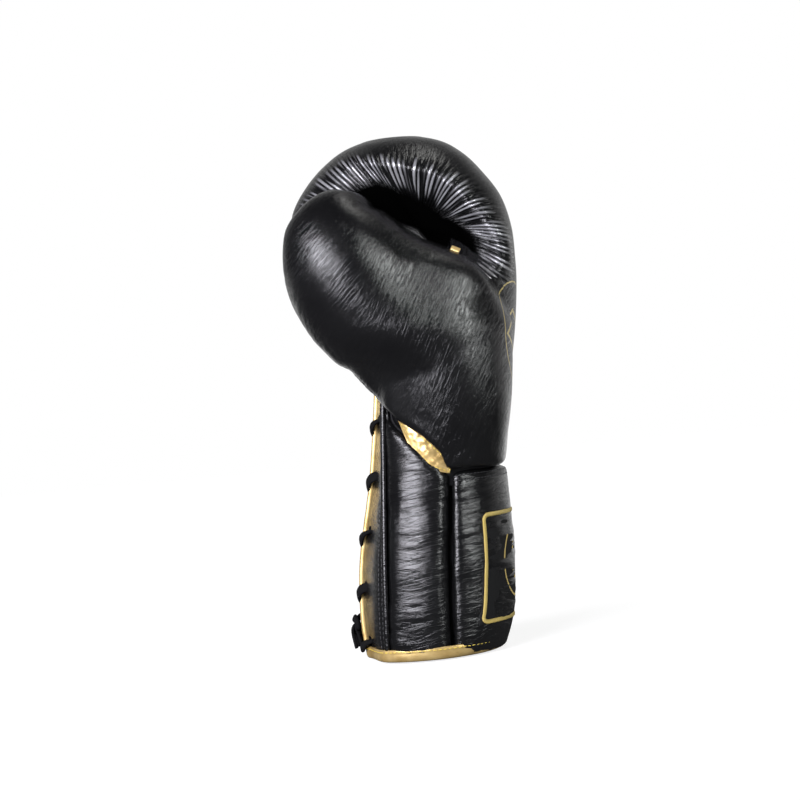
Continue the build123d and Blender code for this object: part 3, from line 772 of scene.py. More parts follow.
at_root = ramp(26.0, 8.0, np.hypot(places[:, 0] + 8, places[:, 2] - 166))
rise = (
    0.9 * (noise(places, 34.0) - 0.5)
    + leather_lines(places, 5.5, 0.35, radians(52), 31) * ramp(-96, -60, -np.abs(places[:, 1]))
    + leather_lines(places, 3.4, 0.5, radians(58), 3) * at_root
)
moved_to(thumb_and_side, places + directions_of(thumb_and_side) * rise[:, None])
left_plain(thumb_and_side, "gathered", "hollow_shade", "crest")
keeps_place(thumb_and_side)
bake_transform(thumb_and_side)
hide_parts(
    "hand_side_cover", "hand_side_pad", "thumb_outer_cover", "thumb_inner_cover", "thumb_pad"
)

# ------------------------------------------------------------------ cuff: the padded panels
# A long foam pad down the back and one on each side, each wrapped in glossy leather. They
# meet in deep seams and are creased across, where the wrist works.
cuff_leather, cuff_height_map, cuff_depth = black_hide(
    "cuff_leather", (radians(-7), radians(9)), 0.0021, 0.00019, 0.5
)
cuff_leather.feed(Normal=cuff_leather.bump(cuff_height_map, cuff_depth, 0.85))


def cuff_oval(z):
    """Centre x, half depth and half width of the cuff at a height."""
    palm = through(cuff_levels, cuff_palm, z)
    back = through(cuff_levels, cuff_back, z)
    return (palm + back) / 2, (back - palm) / 2, through(cuff_levels, cuff_half, z)


keel_depth = 6.8


def keel(y, z):
    """How far the drawn-in lacing edges stand back from a plain oval on the palm side."""
    centre, half_depth, half_width = cuff_oval(z)
    reach = half_width * np.sqrt(1 - ((ridge_x(z) - centre) / half_depth) ** 2)
    return keel_depth * np.sin(pi * np.clip(np.maximum(np.abs(y), 10.0) / reach, 0, 1))


def on_cuff(turn, z, out=0.0):
    """A point by its turn round the cuff from the back, negative to the thumb side."""
    centre, half_depth, half_width = cuff_oval(z)
    x = centre + (half_depth + out) * np.cos(turn)
    y = (half_width + out) * np.sin(turn)
    return np.stack(np.broadcast_arrays(x + keel(y, z) * (x < ridge_x(z) + 1.0), y, z), -1)


def turn_at_x(x, z):
    """The turn from the back at which the cuff's face is at x."""
    centre, half_depth, _ = cuff_oval(z)
    return np.arccos(np.clip((x - centre) / half_depth, -1, 1))


def turn_at_y(y, z):
    """The turn from the back at which the cuff's palm-side face is at y to the side."""
    return pi - np.arcsin(y / cuff_oval(z)[2])


def seam_x(z):
    return 16.0 + (z + 5.0) * 10.0 / 118.0


def ridge_x(z):
    return -20.0 + (z + 5.0) * 0.0745


pad_shell = common(cuff - 0.9, -(cuff + 9.0), 2.0)
pad_shell = common(pad_shell, 0.9 - Z, 1.0)
below_wrist = 0.4 - over_wrist
web_low = np.interp(axis_x, [-14, -9.8, 0.9, 5.8, 15.5, 25.2, 26.5], [176, 156.5, 136, 122.5, 110, 107, 114])
below_web = Z - web_low[:, None, None] - 80.0 * ((X > 25.4) | (Y > -20.0))
for name, zone, edge, covers in (
    ("cuff_back_leather", seam_x(Z) - X, below_wrist, ("cuff_back_cover", "cuff_back_foam")),
    (
        "cuff_thumb_side_leather", common(common(X - seam_x(Z), ridge_x(Z) - X, 1.0), Y, 1.0),
        common(below_wrist, below_web * 0.72, 2.0), ("cuff_thumb_side_cover", "cuff_thumb_side_foam"),
    ),
    (
        "cuff_little_finger_side_leather", common(common(X - seam_x(Z), ridge_x(Z) - X, 1.0), -Y, 1.0),
        below_wrist, ("cuff_little_finger_side_cover", "cuff_little_finger_side_foam"),
    ),
):
    pad = common(common(pad_shell, zone + 0.25, 6.5), edge, 5.0)
    points, faces = face_of(pad)
    points = relaxed(points, faces, 2)
    panel = mesh_piece(name, points, faces, cuff_leather)
    plumped(panel, 1.0)
    places = places_of(panel)
    lean = 1.5 * noise(places + 8, 16.0)[:, None] * np.array([0, 0, 1.0])
    flow = places * np.array([0.22, 0.22, 1.15]) + lean
    ripple = 1 - np.abs(2 * noise(flow + 11, 3.6) - 1)
    broad = noise(places * np.array([0.3, 0.3, 1.0]) + 60, 11.0)
    rise = 0.8 * (ripple - 0.6) * ramp(0.25, 0.7, noise(places + 30, 12.0)) + 0.7 * (broad - 0.5)
    quiet = ramp(0.5, 8.0, places[:, 2] - 4.0)
    moved_to(panel, places + directions_of(panel) * (rise * quiet)[:, None])
    left_plain(panel, "hollow_shade", "crest")
    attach(panel, "cuff")
    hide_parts(*covers)

# ------------------------------------------------------------------ cuff: linings
# Black woven lining inside the cuff and the hand. A band of it bridges the wrist on each side.
# The two bands leave a narrow slit in the middle of the back, which shows as the hand folds.
lining_cloth = Finish("lining_cloth", Roughness=0.85, Specular_IOR_Level=0.2)
across_weave = lining_cloth.node(
    "ShaderNodeTexWave", "Fac", {"bands_direction": "Z"}, Vector=lining_cloth.place, Scale=560.0
)
down_weave = lining_cloth.node(
    "ShaderNodeTexWave", "Fac", {"bands_direction": "DIAGONAL"}, Vector=lining_cloth.place, Scale=420.0
)
lining_cloth.feed(
    Base_Color=lining_cloth.mix(across_weave * down_weave, (0.010, 0.010, 0.011), (0.026, 0.026, 0.028)),
    Normal=lining_cloth.bump(across_weave + down_weave, 0.00012, 0.6),
)


def grid_faces(rows, columns, around=False):
    """Four-sided faces over a grid of points in rows; around joins the last column to the first."""
    i, j = np.meshgrid(np.arange(rows - 1), np.arange(columns if around else columns - 1), indexing="ij")
    k = (j + 1) % columns
    near, far = i * columns, (i + 1) * columns
    return np.stack([near + j, near + k, far + k, far + j], -1).reshape(-1, 4)


def sheet_piece(name, grid, thickness, finish, flip=False):
    """A sheet through a grid of points in millimetres, thickened inwards from its face."""
    faces = grid_faces(*grid.shape[:2])
    piece = mesh_piece(name, grid.reshape(-1, 3), faces[:, ::-1] if flip else faces, finish)
    wall = piece.modifiers.new("wall", "SOLIDIFY")
    wall.thickness = thickness * MM
    wall.offset = -1
    applied(piece)
    return piece


cuff_heights = np.linspace(1.2, 101.5, 60)[:, None]
lining_turn = turn_at_x(ridge_x(cuff_heights) + 1.0, cuff_heights)
lining = sheet_piece(
    "cuff_lining_cloth",
    on_cuff(np.linspace(-1, 1, 90)[None, :] * lining_turn, cuff_heights, -9.6),
    1.2, lining_cloth, flip=True,
)
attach(lining, "cuff")
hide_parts("cuff_lining")

pocket = stacked([
    (86, 9, 0, 27, 37), (125, 13, 0, 25, 38), (150, 17, 1, 22, 39), (190, 18, 3, 21, 41),
    (222, 16, 5, 20, 40), (240, 13, 5, 16, 36), (250, 10, 5, 8, 26),
])
knuckles = (np.sqrt(((X + 12) / 28) ** 2 + ((Y - 5) / 33) ** 2 + ((Z - 233) / 12) ** 2) - 1) * 12.0
pocket = joined(pocket, knuckles, 4.0)
pocket = common(pocket, hand + 4.0, 2.0)
pocket_wall = common(common(pocket - 2.0, -pocket, 0.5), over_wrist - 1.5, 0.5)
points, faces = face_of(pocket_wall)
hand_inside = mesh_piece("hand_lining_cloth", relaxed(points, faces, 2), faces, lining_cloth)
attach(hand_inside, "hand")
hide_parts("hand_lining")

# The band follows the wrist line round each side, inside the edges of the cuff and the hand
band_line = np.array([(50, 103.4), (24, 103.4), (-5.5, 133), (-5.5, 172), (-17, 172)], float)
band_way = way_along(band_line)
band_at = np.linspace(0, band_way[-1], 120)
band_mid = np.stack([np.interp(band_at, band_way, band_line[:, i]) for i in (0, 1)], -1)
for _ in range(30):
    band_mid[1:-1] += 0.4 * ((band_mid[2:] + band_mid[:-2]) / 2 - band_mid[1:-1])
band_along = np.gradient(band_mid, axis=0)
band_along /= np.linalg.norm(band_along, axis=1, keepdims=True)
band_over = np.stack([band_along[:, 1], -band_along[:, 0]], -1)
for name, side in (("thumb_side", -1), ("little_finger_side", 1)):
    rows = []
    for step in np.linspace(-9, 9, 13):
        x, z = (band_mid + step * band_over).T
        x = np.minimum(x, cuff_oval(z)[0] + cuff_oval(z)[1] - 4.01)
        turn = np.arccos(np.clip((x - cuff_oval(z)[0]) / (cuff_oval(z)[1] - 4.0), -1, 1))
        rows.append(on_cuff(side * turn, z, -4.0 - 0.6 * abs(sin(step))))
    band = sheet_piece(f"wrist_band_{name}", np.array(rows), 1.0, lining_cloth, flip=side < 0)
    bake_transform(band)

# ------------------------------------------------------------------ cuff: lacing flaps
# Each lacing edge is a flat flap of doubled leather with a row of punched holes, sewn to the
# side pad along a raised ridge and finished along its free edge with gold piping.
hole_first, hole_spacing = 10.5, 31.0
hole_levels = hole_first + hole_spacing * np.arange(6)
hole_y = 17.0
hole_radius = 2.9 * MM
flap_edge = 11.2
flap_top = 172.0
flap_heights = np.linspace(0.9, flap_top, 150)[:, None]
for side, name in ((-1, "thumb"), (1, "little_finger")):
    edge_turn = turn_at_y(flap_edge, flap_heights)
    ridge_turn = turn_at_x(ridge_x(flap_heights) - 0.2, flap_heights)
    share = np.linspace(0, 1, 30)[None, :]
    turn = edge_turn + (ridge_turn - edge_turn) * share
    swell = 0.5 * np.sin(pi * np.clip(share * 1.15, 0, 1)) + 0 * flap_heights
    grid = on_cuff(side * turn, flap_heights + 0 * share, swell - 0.1)
    flat = grid.reshape(-1, 3)
    crumple = 0.5 * (noise(flat * np.array([0.5, 0.5, 1]) + 21, 6.0) - 0.5)
    grid = on_cuff(side * turn, flap_heights + 0 * share, swell - 0.1 + crumple.reshape(turn.shape))
    flap = sheet_piece(f"lacing_flap_{name}_side_leather", grid, 3.0, cuff_leather, flip=side > 0)
    punch = bmesh.new()
    for level in hole_levels:
        place = on_cuff(side * turn_at_y(hole_y, level), level)
        spot = Matrix.Translation(Vector(place) * MM) @ Matrix.Rotation(pi / 2, 4, "Y")
        bmesh.ops.create_cone(
            punch, cap_ends=True, segments=20, radius1=hole_radius, radius2=hole_radius,
            depth=14 * MM, matrix=spot,
        )
    punch_mesh = bpy.data.meshes.new("punch")
    punch.to_mesh(punch_mesh)
    punch.free()
    punch_tool = in_scene("punch", punch_mesh)
    holes = flap.modifiers.new("holes", "BOOLEAN")
    holes.operation = "DIFFERENCE"
    holes.solver = "EXACT"
    holes.object = punch_tool
    applied(flap)
    bpy.data.objects.remove(punch_tool)
    flap.data.materials.clear()
    flap.data.materials.append(cuff_leather.material)
    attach(flap, "cuff")
    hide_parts(f"lacing_flap_{name}_side")

# Gold leather, thin and shiny, with small puckers where the thread draws it in
gold_leather = Finish("gold_leather", Metallic=0.55, Specular_IOR_Level=0.5)
gold_grain = gold_leather.node(
    "ShaderNodeTexNoise", "Fac", {}, Vector=gold_leather.place, Scale=520.0, Detail=4.0
)
gold_patch = gold_leather.node(
    "ShaderNodeTexNoise", "Fac", {}, Vector=gold_leather.place, Scale=95.0, Detail=2.0
)
gold_leather.feed(
    Base_Color=gold_leather.mix(gold_patch.over(0.35, 0.65), (0.50, 0.34, 0.12), (0.70, 0.52, 0.22)),
    Roughness=gold_grain * 0.2 + 0.28,
    Normal=gold_leather.bump(gold_grain * 0.6 + gold_patch * 2.0, 0.00025, 0.5),
)


def swept(name, path, outward, section, finish, loop=False):
    """A strip or tube with one section along a path. The section's second axis faces outward."""
    path = np.asarray(path, float)
    if loop:
        along = np.roll(path, -1, 0) - np.roll(path, 1, 0)
    else:
        along = np.gradient(path, axis=0)
    along /= np.linalg.norm(along, axis=1, keepdims=True)
    out = outward - (outward * along).sum(1, keepdims=True) * along
    out /= np.linalg.norm(out, axis=1, keepdims=True)
    across = np.cross(along, out)
    section = np.asarray(section, float)
    rings = path[:, None] + section[None, :, :1] * across[:, None] + section[None, :, 1:] * out[:, None]
    rows, columns = rings.shape[:2]
    if loop:
        rings = np.concatenate([rings, rings[:1]])
        rows += 1
    faces = [list(face) for face in grid_faces(rows, columns, True)]
    if not loop:
        faces.append(list(range(columns))[::-1])
        faces.append([(rows - 1) * columns + j for j in range(columns)])
    piece = mesh_piece(name, rings.reshape(-1, 3), faces, finish)
    shape = bmesh.new()
    shape.from_mesh(piece.data)
    bmesh.ops.remove_doubles(shape, verts=shape.verts, dist=1e-7)
    bmesh.ops.recalc_face_normals(shape, faces=shape.faces)
    layer = shape.loops.layers.uv.new("run")
    length = np.concatenate([[0], np.cumsum(np.linalg.norm(np.diff(path, axis=0), axis=1))])
    girth = np.arange(columns) / columns
    shape.verts.ensure_lookup_table()
    for face in shape.faces:
        for corner in face.loops:
            row, column = divmod(corner.vert.index, columns)
            corner[layer].uv = (length[min(row, len(length) - 1)], girth[column] * 12.0)
    shape.to_mesh(piece.data)
    shape.free()
    return piece


def oval_section(width, height, square=2.0, count=14):
    """Points round an oval that is squarer the higher square is."""
    turns = 2 * pi * np.arange(count) / count
    c, s = np.cos(turns), np.sin(turns)
    return np.stack([
        width / 2 * np.sign(c) * np.abs(c) ** (2 / square),
        height / 2 * np.sign(s) * np.abs(s) ** (2 / square),
    ], -1)


def out_of_cuff(turn, z):
    """The way that the cuff's face looks at a turn and a height."""
    return on_cuff(turn, z, 1.0) - on_cuff(turn, z, 0.0)


piping_heights = np.linspace(6.6, flap_top, 160)
for side, name in ((-1, "thumb"), (1, "little_finger")):
    turn = side * turn_at_y(10.3, piping_heights)
    pucker = 0.14 * (noise(np.stack([piping_heights, 0 * turn, 0 * turn + side], -1), 3.1) - 0.5)
    piping = swept(
        f"lacing_piping_{name}_side_leather", on_cuff(turn, piping_heights, pucker),
        out_of_cuff(turn, piping_heights), oval_section(2.8, 3.6, 2.4), gold_leather,
    )
    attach(piping, "cuff")
    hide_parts(f"lacing_piping_{name}_side")
    ridge_heights = np.linspace(7.2, 170.0, 140)
    turn = side * turn_at_x(ridge_x(ridge_heights), ridge_heights)
    welt = swept(
        f"ridge_welt_{name}_side", on_cuff(turn, ridge_heights, 0.2),
        out_of_cuff(turn, ridge_heights), oval_section(3.4, 2.8), cuff_leather,
    )
    left_plain(welt, "hollow_shade", "crest")
    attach(welt, "cuff")

# ------------------------------------------------------------------ cuff: lace and knot
# One flat woven cotton lace, tied at the rim. It comes out of each hole, runs over its own
# edge, dives under the other edge and comes out of the next hole.
lace_cloth = Finish("lace_cloth", Roughness=0.92, Specular_IOR_Level=0.15)
ribs = lace_cloth.node(
    "ShaderNodeTexWave", "Fac", {"bands_direction": "DIAGONAL"},
    Vector=lace_cloth.stretched((1.0, 1.0, 1.0), source=lace_cloth.flat), Scale=0.9, Distortion=0.3,
)
fuzz = lace_cloth.node("ShaderNodeTexNoise", "Fac", {}, Vector=lace_cloth.place, Scale=900.0)
lace_cloth.feed(
    Base_Color=lace_cloth.mix(ribs * fuzz, (0.0035, 0.0035, 0.0038), (0.011, 0.011, 0.012)),
    Normal=lace_cloth.bump(ribs + fuzz * 0.6, 0.00022, 0.8),
)
lace_width, lace_thickness = 5.6, 2.3
lace_out = 3.0
lace_in = -(3.2 + 1.3 + 1.6)
lace_edge = 10.3
knot_z = 19.0
knot_out = 5.4


def lace_half(side):
    """Points of one half of the lace, from the top hole on one side down to the knot."""
    route = []
    for row in range(5, -1, -1):
        top = hole_levels[row]
        route += [
            (top + 1.0, side * (hole_y + 0.2), lace_in - 0.6),
            (top, side * hole_y, -1.6),
            (top - 1.2, side * (hole_y - 1.0), lace_out + 0.2),
        ]
        if row == 0:
            break
        step = hole_spacing / (2 * hole_y)
        cross_out = 1.2 if side > 0 else -4.2
        cross_y = 0.0 if side > 0 else 1.0
        route += [
            (top - step * (hole_y - lace_edge), side * lace_edge, lace_out),
            (top - step * (hole_y + cross_y), -side * cross_y, cross_out),
            (top - step * (hole_y + lace_edge - 0.5), -side * (lace_edge - 0.5), lace_in),
        ]
        side = -side
    route += [
        (hole_levels[0] - 5.0, side * 7.5, lace_out + 0.6),
        (hole_levels[0] - 3.5, side * 3.4, lace_out + 1.2),
        (knot_z - 4.5, side * 2.0, knot_out),
    ]
    return [(cuff_palm_x(z, y) - out, y, z) for z, y, out in route]


def cuff_palm_x(z, y):
    """X of the cuff's palm-side face."""
    centre, half_depth, half_width = cuff_oval(z)
    return float(centre - half_depth * np.sqrt(1 - (max(abs(y), 9.0) / half_width) ** 2) + keel(y, z))


def along_route(name, route):
    """Points along the smooth line that the route's points control, in millimetres."""
    data = bpy.data.curves.new(name, "CURVE")
    data.dimensions = "3D"
    data.resolution_u = 10
    line = data.splines.new("NURBS")
    line.points.add(len(route) - 1)
    for point, place in zip(line.points, route):
        point.co = (*(Vector(place) * MM), 1)
    line.order_u = 3
    line.use_endpoint_u = True
    holder = in_scene(name, data)
    graph = bpy.context.evaluated_depsgraph_get()
    flat = bpy.data.meshes.new_from_object(holder.evaluated_get(graph))
    places = np.array([tuple(vertex.co) for vertex in flat.vertices]) / MM
    bpy.data.objects.remove(holder)
    return places


def flat_side(path, first):
    """Which way a flat lace faces: it turns as little as it can, and leans back to face outwards."""
    along = np.gradient(path, axis=0)
    along /= np.linalg.norm(along, axis=1, keepdims=True)
    facing = [np.array(first, float)]
    for point, way in zip(path, along):
        face = facing[-1] - (facing[-1] @ way) * way
        face /= np.linalg.norm(face)
        want = np.array([-1.0, 0.35 * np.sign(point[1]) * min(abs(point[1]) / 12, 1), 0.0])
        want -= (want @ way) * way
        flatness = np.linalg.norm(want)
        want /= max(flatness, 1e-6)
        if want @ face < 0:
            want = -want
        face = face + 0.25 * flatness**3 * want
        facing.append(face / np.linalg.norm(face))
    return np.array(facing[1:])


route = lace_half(-1)[::-1]
route.append((cuff_palm_x(hole_levels[-1] + 2, 0) - lace_in, 0, hole_levels[-1] + 2.4))
route += lace_half(1)
path = along_route("lace_route", route)
wrist_lace = swept(
    "wrist_lace_cloth", path, flat_side(path, (-1, 0, 0)), oval_section(lace_width, lace_thickness, 3.0),
    lace_cloth,
)
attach(wrist_lace, "cuff")
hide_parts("wrist_lace")

knot_x = cuff_palm_x(knot_z, 0) - knot_out
turns = np.linspace(0, 2 * pi, 90, endpoint=False)
loops = np.stack([
    knot_x - 0.9 * np.sin(3 * turns),
    1.75 * (np.sin(turns) + 2 * np.sin(2 * turns)),
    knot_z + 1.9 * (np.cos(turns) - 2 * np.cos(2 * turns)),
], -1)
knot = swept(
    "lace_knot_cloth", loops, loops - np.array([knot_x + 6, 0, knot_z]),
    oval_section(4.2, 2.2, 2.6), lace_cloth, loop=True,
)
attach(knot, "cuff")
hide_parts("lace_knot")
for side in (-1, 1):
    tail_route = [
        (knot_x, 0, knot_z - 1), (knot_x - 2.4, side * 3.0, knot_z - 2),
        (knot_x - 2.0, side * 5.5, knot_z - 7), (knot_x - 0.6, side * 6.6, knot_z - 13),
    ]
    tail_path = along_route("tail_route", tail_route)
    tail = swept(
        f"lace_tail_{'thumb' if side < 0 else 'little_finger'}_side", tail_path,
        flat_side(tail_path, (-1, 0, 0)), oval_section(5.0, 2.0, 3.0), lace_cloth,
    )
    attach(tail, "cuff")

# ------------------------------------------------------------------ cuff: binding
# A strip of gold leather that is folded over the rim, inside and out, and sewn through.
half_opening = float(turn_at_y(9.2, np.array(3.0)))
binding_turn = np.linspace(-half_opening, half_opening, 420)
pad_turn = float(turn_at_x(ridge_x(3.0), np.array(3.0)))
inner_depth = 4.4 + 6.6 * ramp(pad_turn + 0.03, pad_turn - 0.06, np.abs(binding_turn))
profile = [
    (0.5, 7.3), (1.2, 7.1), (1.55, 6.2), (1.4, 5.3), (1.6, 4.2),
    (1.65, 2.6), (1.4, 1.2), (0.6, 0.4), (-0.5, 0.06),
]
inner_profile = [
    (-0.25, 0.05), (-0.55, 0.05), (-0.85, 0.1), (-0.97, 0.6), (-1.0, 2.0), (-1.0, 4.5), (-0.97, 6.9),
]
strip = np.stack([binding_turn * 45.0, 0 * binding_turn, 0 * binding_turn], -1)
wave = noise(strip + 3, 4.2) - 0.5
rows = [on_cuff(binding_turn, z + 0.5 * wave * (z > 6), out + 0.35 * wave) for out, z in profile]
rows += [on_cuff(binding_turn, z + 0 * wave, out * inner_depth) for out, z in inner_profile]
grid = np.array(rows)
grid[:, :, 2] = np.maximum(grid[:, :, 2], 0.02)
binding = sheet_piece("cuff_binding_leather", grid, 0.5, gold_leather, flip=True)
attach(binding, "cuff")
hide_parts("cuff_binding")

# ------------------------------------------------------------------ cuff: patch
# A woven patch on the back of the cuff, with a satin-stitched gold border and a plain motif of
# a ring and a diamond, woven in.
patch_cloth = Finish("patch_cloth", Roughness=0.8, Specular_IOR_Level=0.25)
over_under = patch_cloth.node("ShaderNodeTexChecker", "Fac", {}, Vector=patch_cloth.place, Scale=1900.0)
_, patch_y, patch_z = patch_cloth.axes()
motif_z = 0.0492
above = patch_z - motif_z
from_middle = (patch_y * patch_y + above * above).math("SQRT")
diamond = patch_y.math("ABSOLUTE") + above.math("ABSOLUTE")


def band_of(value, middle, half_width):
    """1 within half_width of middle, 0 outside."""
    return (value - middle).math("ABSOLUTE").math("LESS_THAN", half_width)


motif = band_of(from_middle, 0.0205, 0.0006).math("MAXIMUM", band_of(diamond, 0.0125, 0.0013))
patch_cloth.feed(
    Base_Color=patch_cloth.mix(motif, (0.006, 0.006, 0.0065), (0.60, 0.45, 0.16)),
    Normal=patch_cloth.bump(over_under, 0.00006, 0.5),
)
patch_reach_y, patch_reach_z, patch_middle = 36.5, 31.75, 47.25
patch_y_at = np.linspace(-patch_reach_y, patch_reach_y, 60)[None, :]
patch_z_at = np.linspace(patch_middle - patch_reach_z, patch_middle + patch_reach_z, 60)[:, None]
patch_turn = np.arcsin(patch_y_at / cuff_oval(patch_z_at)[2])
edge_near = np.minimum(
    patch_reach_y - np.abs(patch_y_at), patch_reach_z - np.abs(patch_z_at - patch_middle)
)
grid = on_cuff(patch_turn, patch_z_at + 0 * patch_y_at, 1.9 - 0.5 * ramp(1.2, 0.0, edge_near))
patch = sheet_piece("cuff_patch_cloth", grid, 1.2, patch_cloth)
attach(patch, "cuff")
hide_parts("cuff_patch")

corner = 3.0
reach_y, reach_z = 34.3 - corner, 29.55 - corner
border = []
quarters = ((reach_y, reach_z), (-reach_y, reach_z), (-reach_y, -reach_z), (reach_y, -reach_z))
for way, (cy, cz) in enumerate(quarters):
    for turn in np.linspace(way * pi / 2, (way + 1) * pi / 2, 8):
        border.append((cy + corner * cos(turn), patch_middle + cz + corner * sin(turn)))
border = np.array(border + border[:1])
border_way = way_along(border)
border_at = np.linspace(0, border_way[-1], 400, endpoint=False)
border_y = np.interp(border_at, border_way, border[:, 0])
border_z = np.interp(border_at, border_way, border[:, 1])
border_turn = np.arcsin(border_y / cuff_oval(border_z)[2])
lift = 2.0 + 0.12 * (np.arange(400) % 2)
satin_thread = Finish("satin_thread", Roughness=0.45, Specular_IOR_Level=0.6)
run = satin_thread.axes(satin_thread.flat)[0]
strand = (run * 10.0).math("SINE")
satin_thread.feed(
    Base_Color=satin_thread.mix(strand.over(-1, 1), (0.34, 0.24, 0.05), (0.72, 0.56, 0.17)),
    Normal=satin_thread.bump(strand, 0.00012, 0.8),
)
patch_border = swept(
    "patch_border_stitching", on_cuff(border_turn, border_z, lift), out_of_cuff(border_turn, border_z),
    oval_section(2.4, 0.9, 2.4, 10), satin_thread, loop=True,
)
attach(patch_border, "cuff")
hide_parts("patch_border")

# ------------------------------------------------------------------ gusset and thumb strap
# A thin gold leather web closes the opening at the foot of the thumb. It is crumpled, and sewn to
# the cuff below and to the hand above.
def along_line(line, share):
    """Points a share of the way along a line of (x, z) places."""
    line = np.array(line, float)
    way = way_along(line)
    return np.stack([np.interp(share, way / way[-1], line[:, i]) for i in (0, 1)], -1)


web_along = np.linspace(0, 1, 70)
web_foot = along_line([(-1.5, 137), (0.9, 131.5), (5.8, 119), (15.5, 106), (25.6, 102.2)], web_along)
web_head = along_line([(-2.5, 139), (2.2, 135.5), (14.6, 125.5), (24.2, 114.5), (26.4, 104)], web_along)
rows = []
for share in np.linspace(-0.12, 1.12, 26):
    x, z = (web_foot + (web_head - web_foot) * share).T
    centre, half_depth, half_width = cuff_oval(z)
    spots = np.stack([x, 0 * x, z], -1)
    broad = noise(spots * np.array([1, 1, 1.4]) + 9, 3.8) - 0.5
    crumple = 0.9 * broad + 0.9 * (noise(spots + 77, 1.9) - 0.5)
    out = 0.2 + 1.0 * sin(pi * np.clip(share, 0, 1)) + crumple * sin(pi * np.clip(share, 0.05, 0.95))
    y = -(half_width + out) * np.sqrt(1 - ((x - centre) / (half_depth + out)) ** 2)
    rows.append(np.stack([x, y, z], -1))
web = sheet_piece("thumb_gusset_leather", np.array(rows), 0.8, gold_leather)
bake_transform(web)
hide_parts("thumb_gusset")

# ------------------------------------------------------------------ strap, grip bar and thumb lining
# A narrow leather strap ties the thumb to the fist deep in the hollow, with a gold turned end.
# The grip bar is a roll of leather round foam, and the thumb has its own woven pocket.
def hidden_roll(name, body, path, outward, section, finish, slot, *covers):
    """A strap or roll that is swept along a few points."""
    line = along_route(name + "_route", path)
    piece = swept(name, line, np.tile(outward, (len(line), 1)), section, finish)
    if finish is cuff_leather:
        left_plain(piece, "hollow_shade", "crest", "gathered")
    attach(piece, body)
    if covers:
        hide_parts(*covers)


hidden_roll(
    "thumb_strap_leather", "hand", [(20, -31, 228), (32, -35, 223.8), (43, -36, 219.4), (48, -31, 215)],
    (0, -1.0, 0.3), oval_section(3.4, 1.3, 3.0), cuff_leather, "black_leather", "thumb_strap",
)
hidden_roll(
    "thumb_strap_end", "hand", [(37.2, -36.4, 225.4), (39.4, -36.8, 224.4), (41.6, -36.9, 223.2)],
    (0, -1.0, 0.5), oval_section(3.0, 1.4, 3.0), gold_leather, "gold_leather",
)
hidden_roll(
    "grip_bar_leather", "hand", [(-17, -30.5, 205), (-17, -10, 205), (-17, 20, 205), (-17, 40.5, 205)],
    (1.0, 0, 0), oval_section(17.4, 17.4, 2.1, 40), cuff_leather, "grip", "grip_bar",
)
pocket_in_thumb = stacked([
    (153, -6, -50, 12, 6), (165, -8, -53, 16, 9), (185, -13, -57, 18, 13), (205, -17, -59, 18.5, 14.5),
    (225, -18.5, -60, 17.5, 14), (240, -19, -60, 12, 9), (244, -19, -60, 0.5, 0.5),
])
pocket_in_thumb = common(pocket_in_thumb, padded_side + 4.0, 2.0)
points, faces = face_of(common(pocket_in_thumb, -1.4 - pocket_in_thumb, 0.5))
thumb_inside = mesh_piece("thumb_lining_cloth", relaxed(points, faces, 2), faces, lining_cloth)
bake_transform(thumb_inside)
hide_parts("thumb_lining")

# ------------------------------------------------------------------ stitches
# Every sewn row is lockstitch in waxed thread, laid half sunk along its own line. The thread
# is yellow on the gold trim and black on the black leather.
def waxed_thread(name, dark, light):
    """Twisted thread that runs from a dark to a light shade."""
    thread = Finish(name, Roughness=0.45, Specular_IOR_Level=0.6)
    twist = thread.node(
        "ShaderNodeTexNoise", "Fac", {}, Vector=thread.place, Scale=2600.0, Detail=2.0
    )
    thread.feed(Base_Color=thread.mix(twist.over(0.35, 0.65), dark, light))
    return thread


gold_thread = waxed_thread("gold_thread", (0.50, 0.35, 0.03), (0.85, 0.66, 0.12))
black_thread = waxed_thread("black_thread", (0.012, 0.012, 0.013), (0.06, 0.06, 0.064))


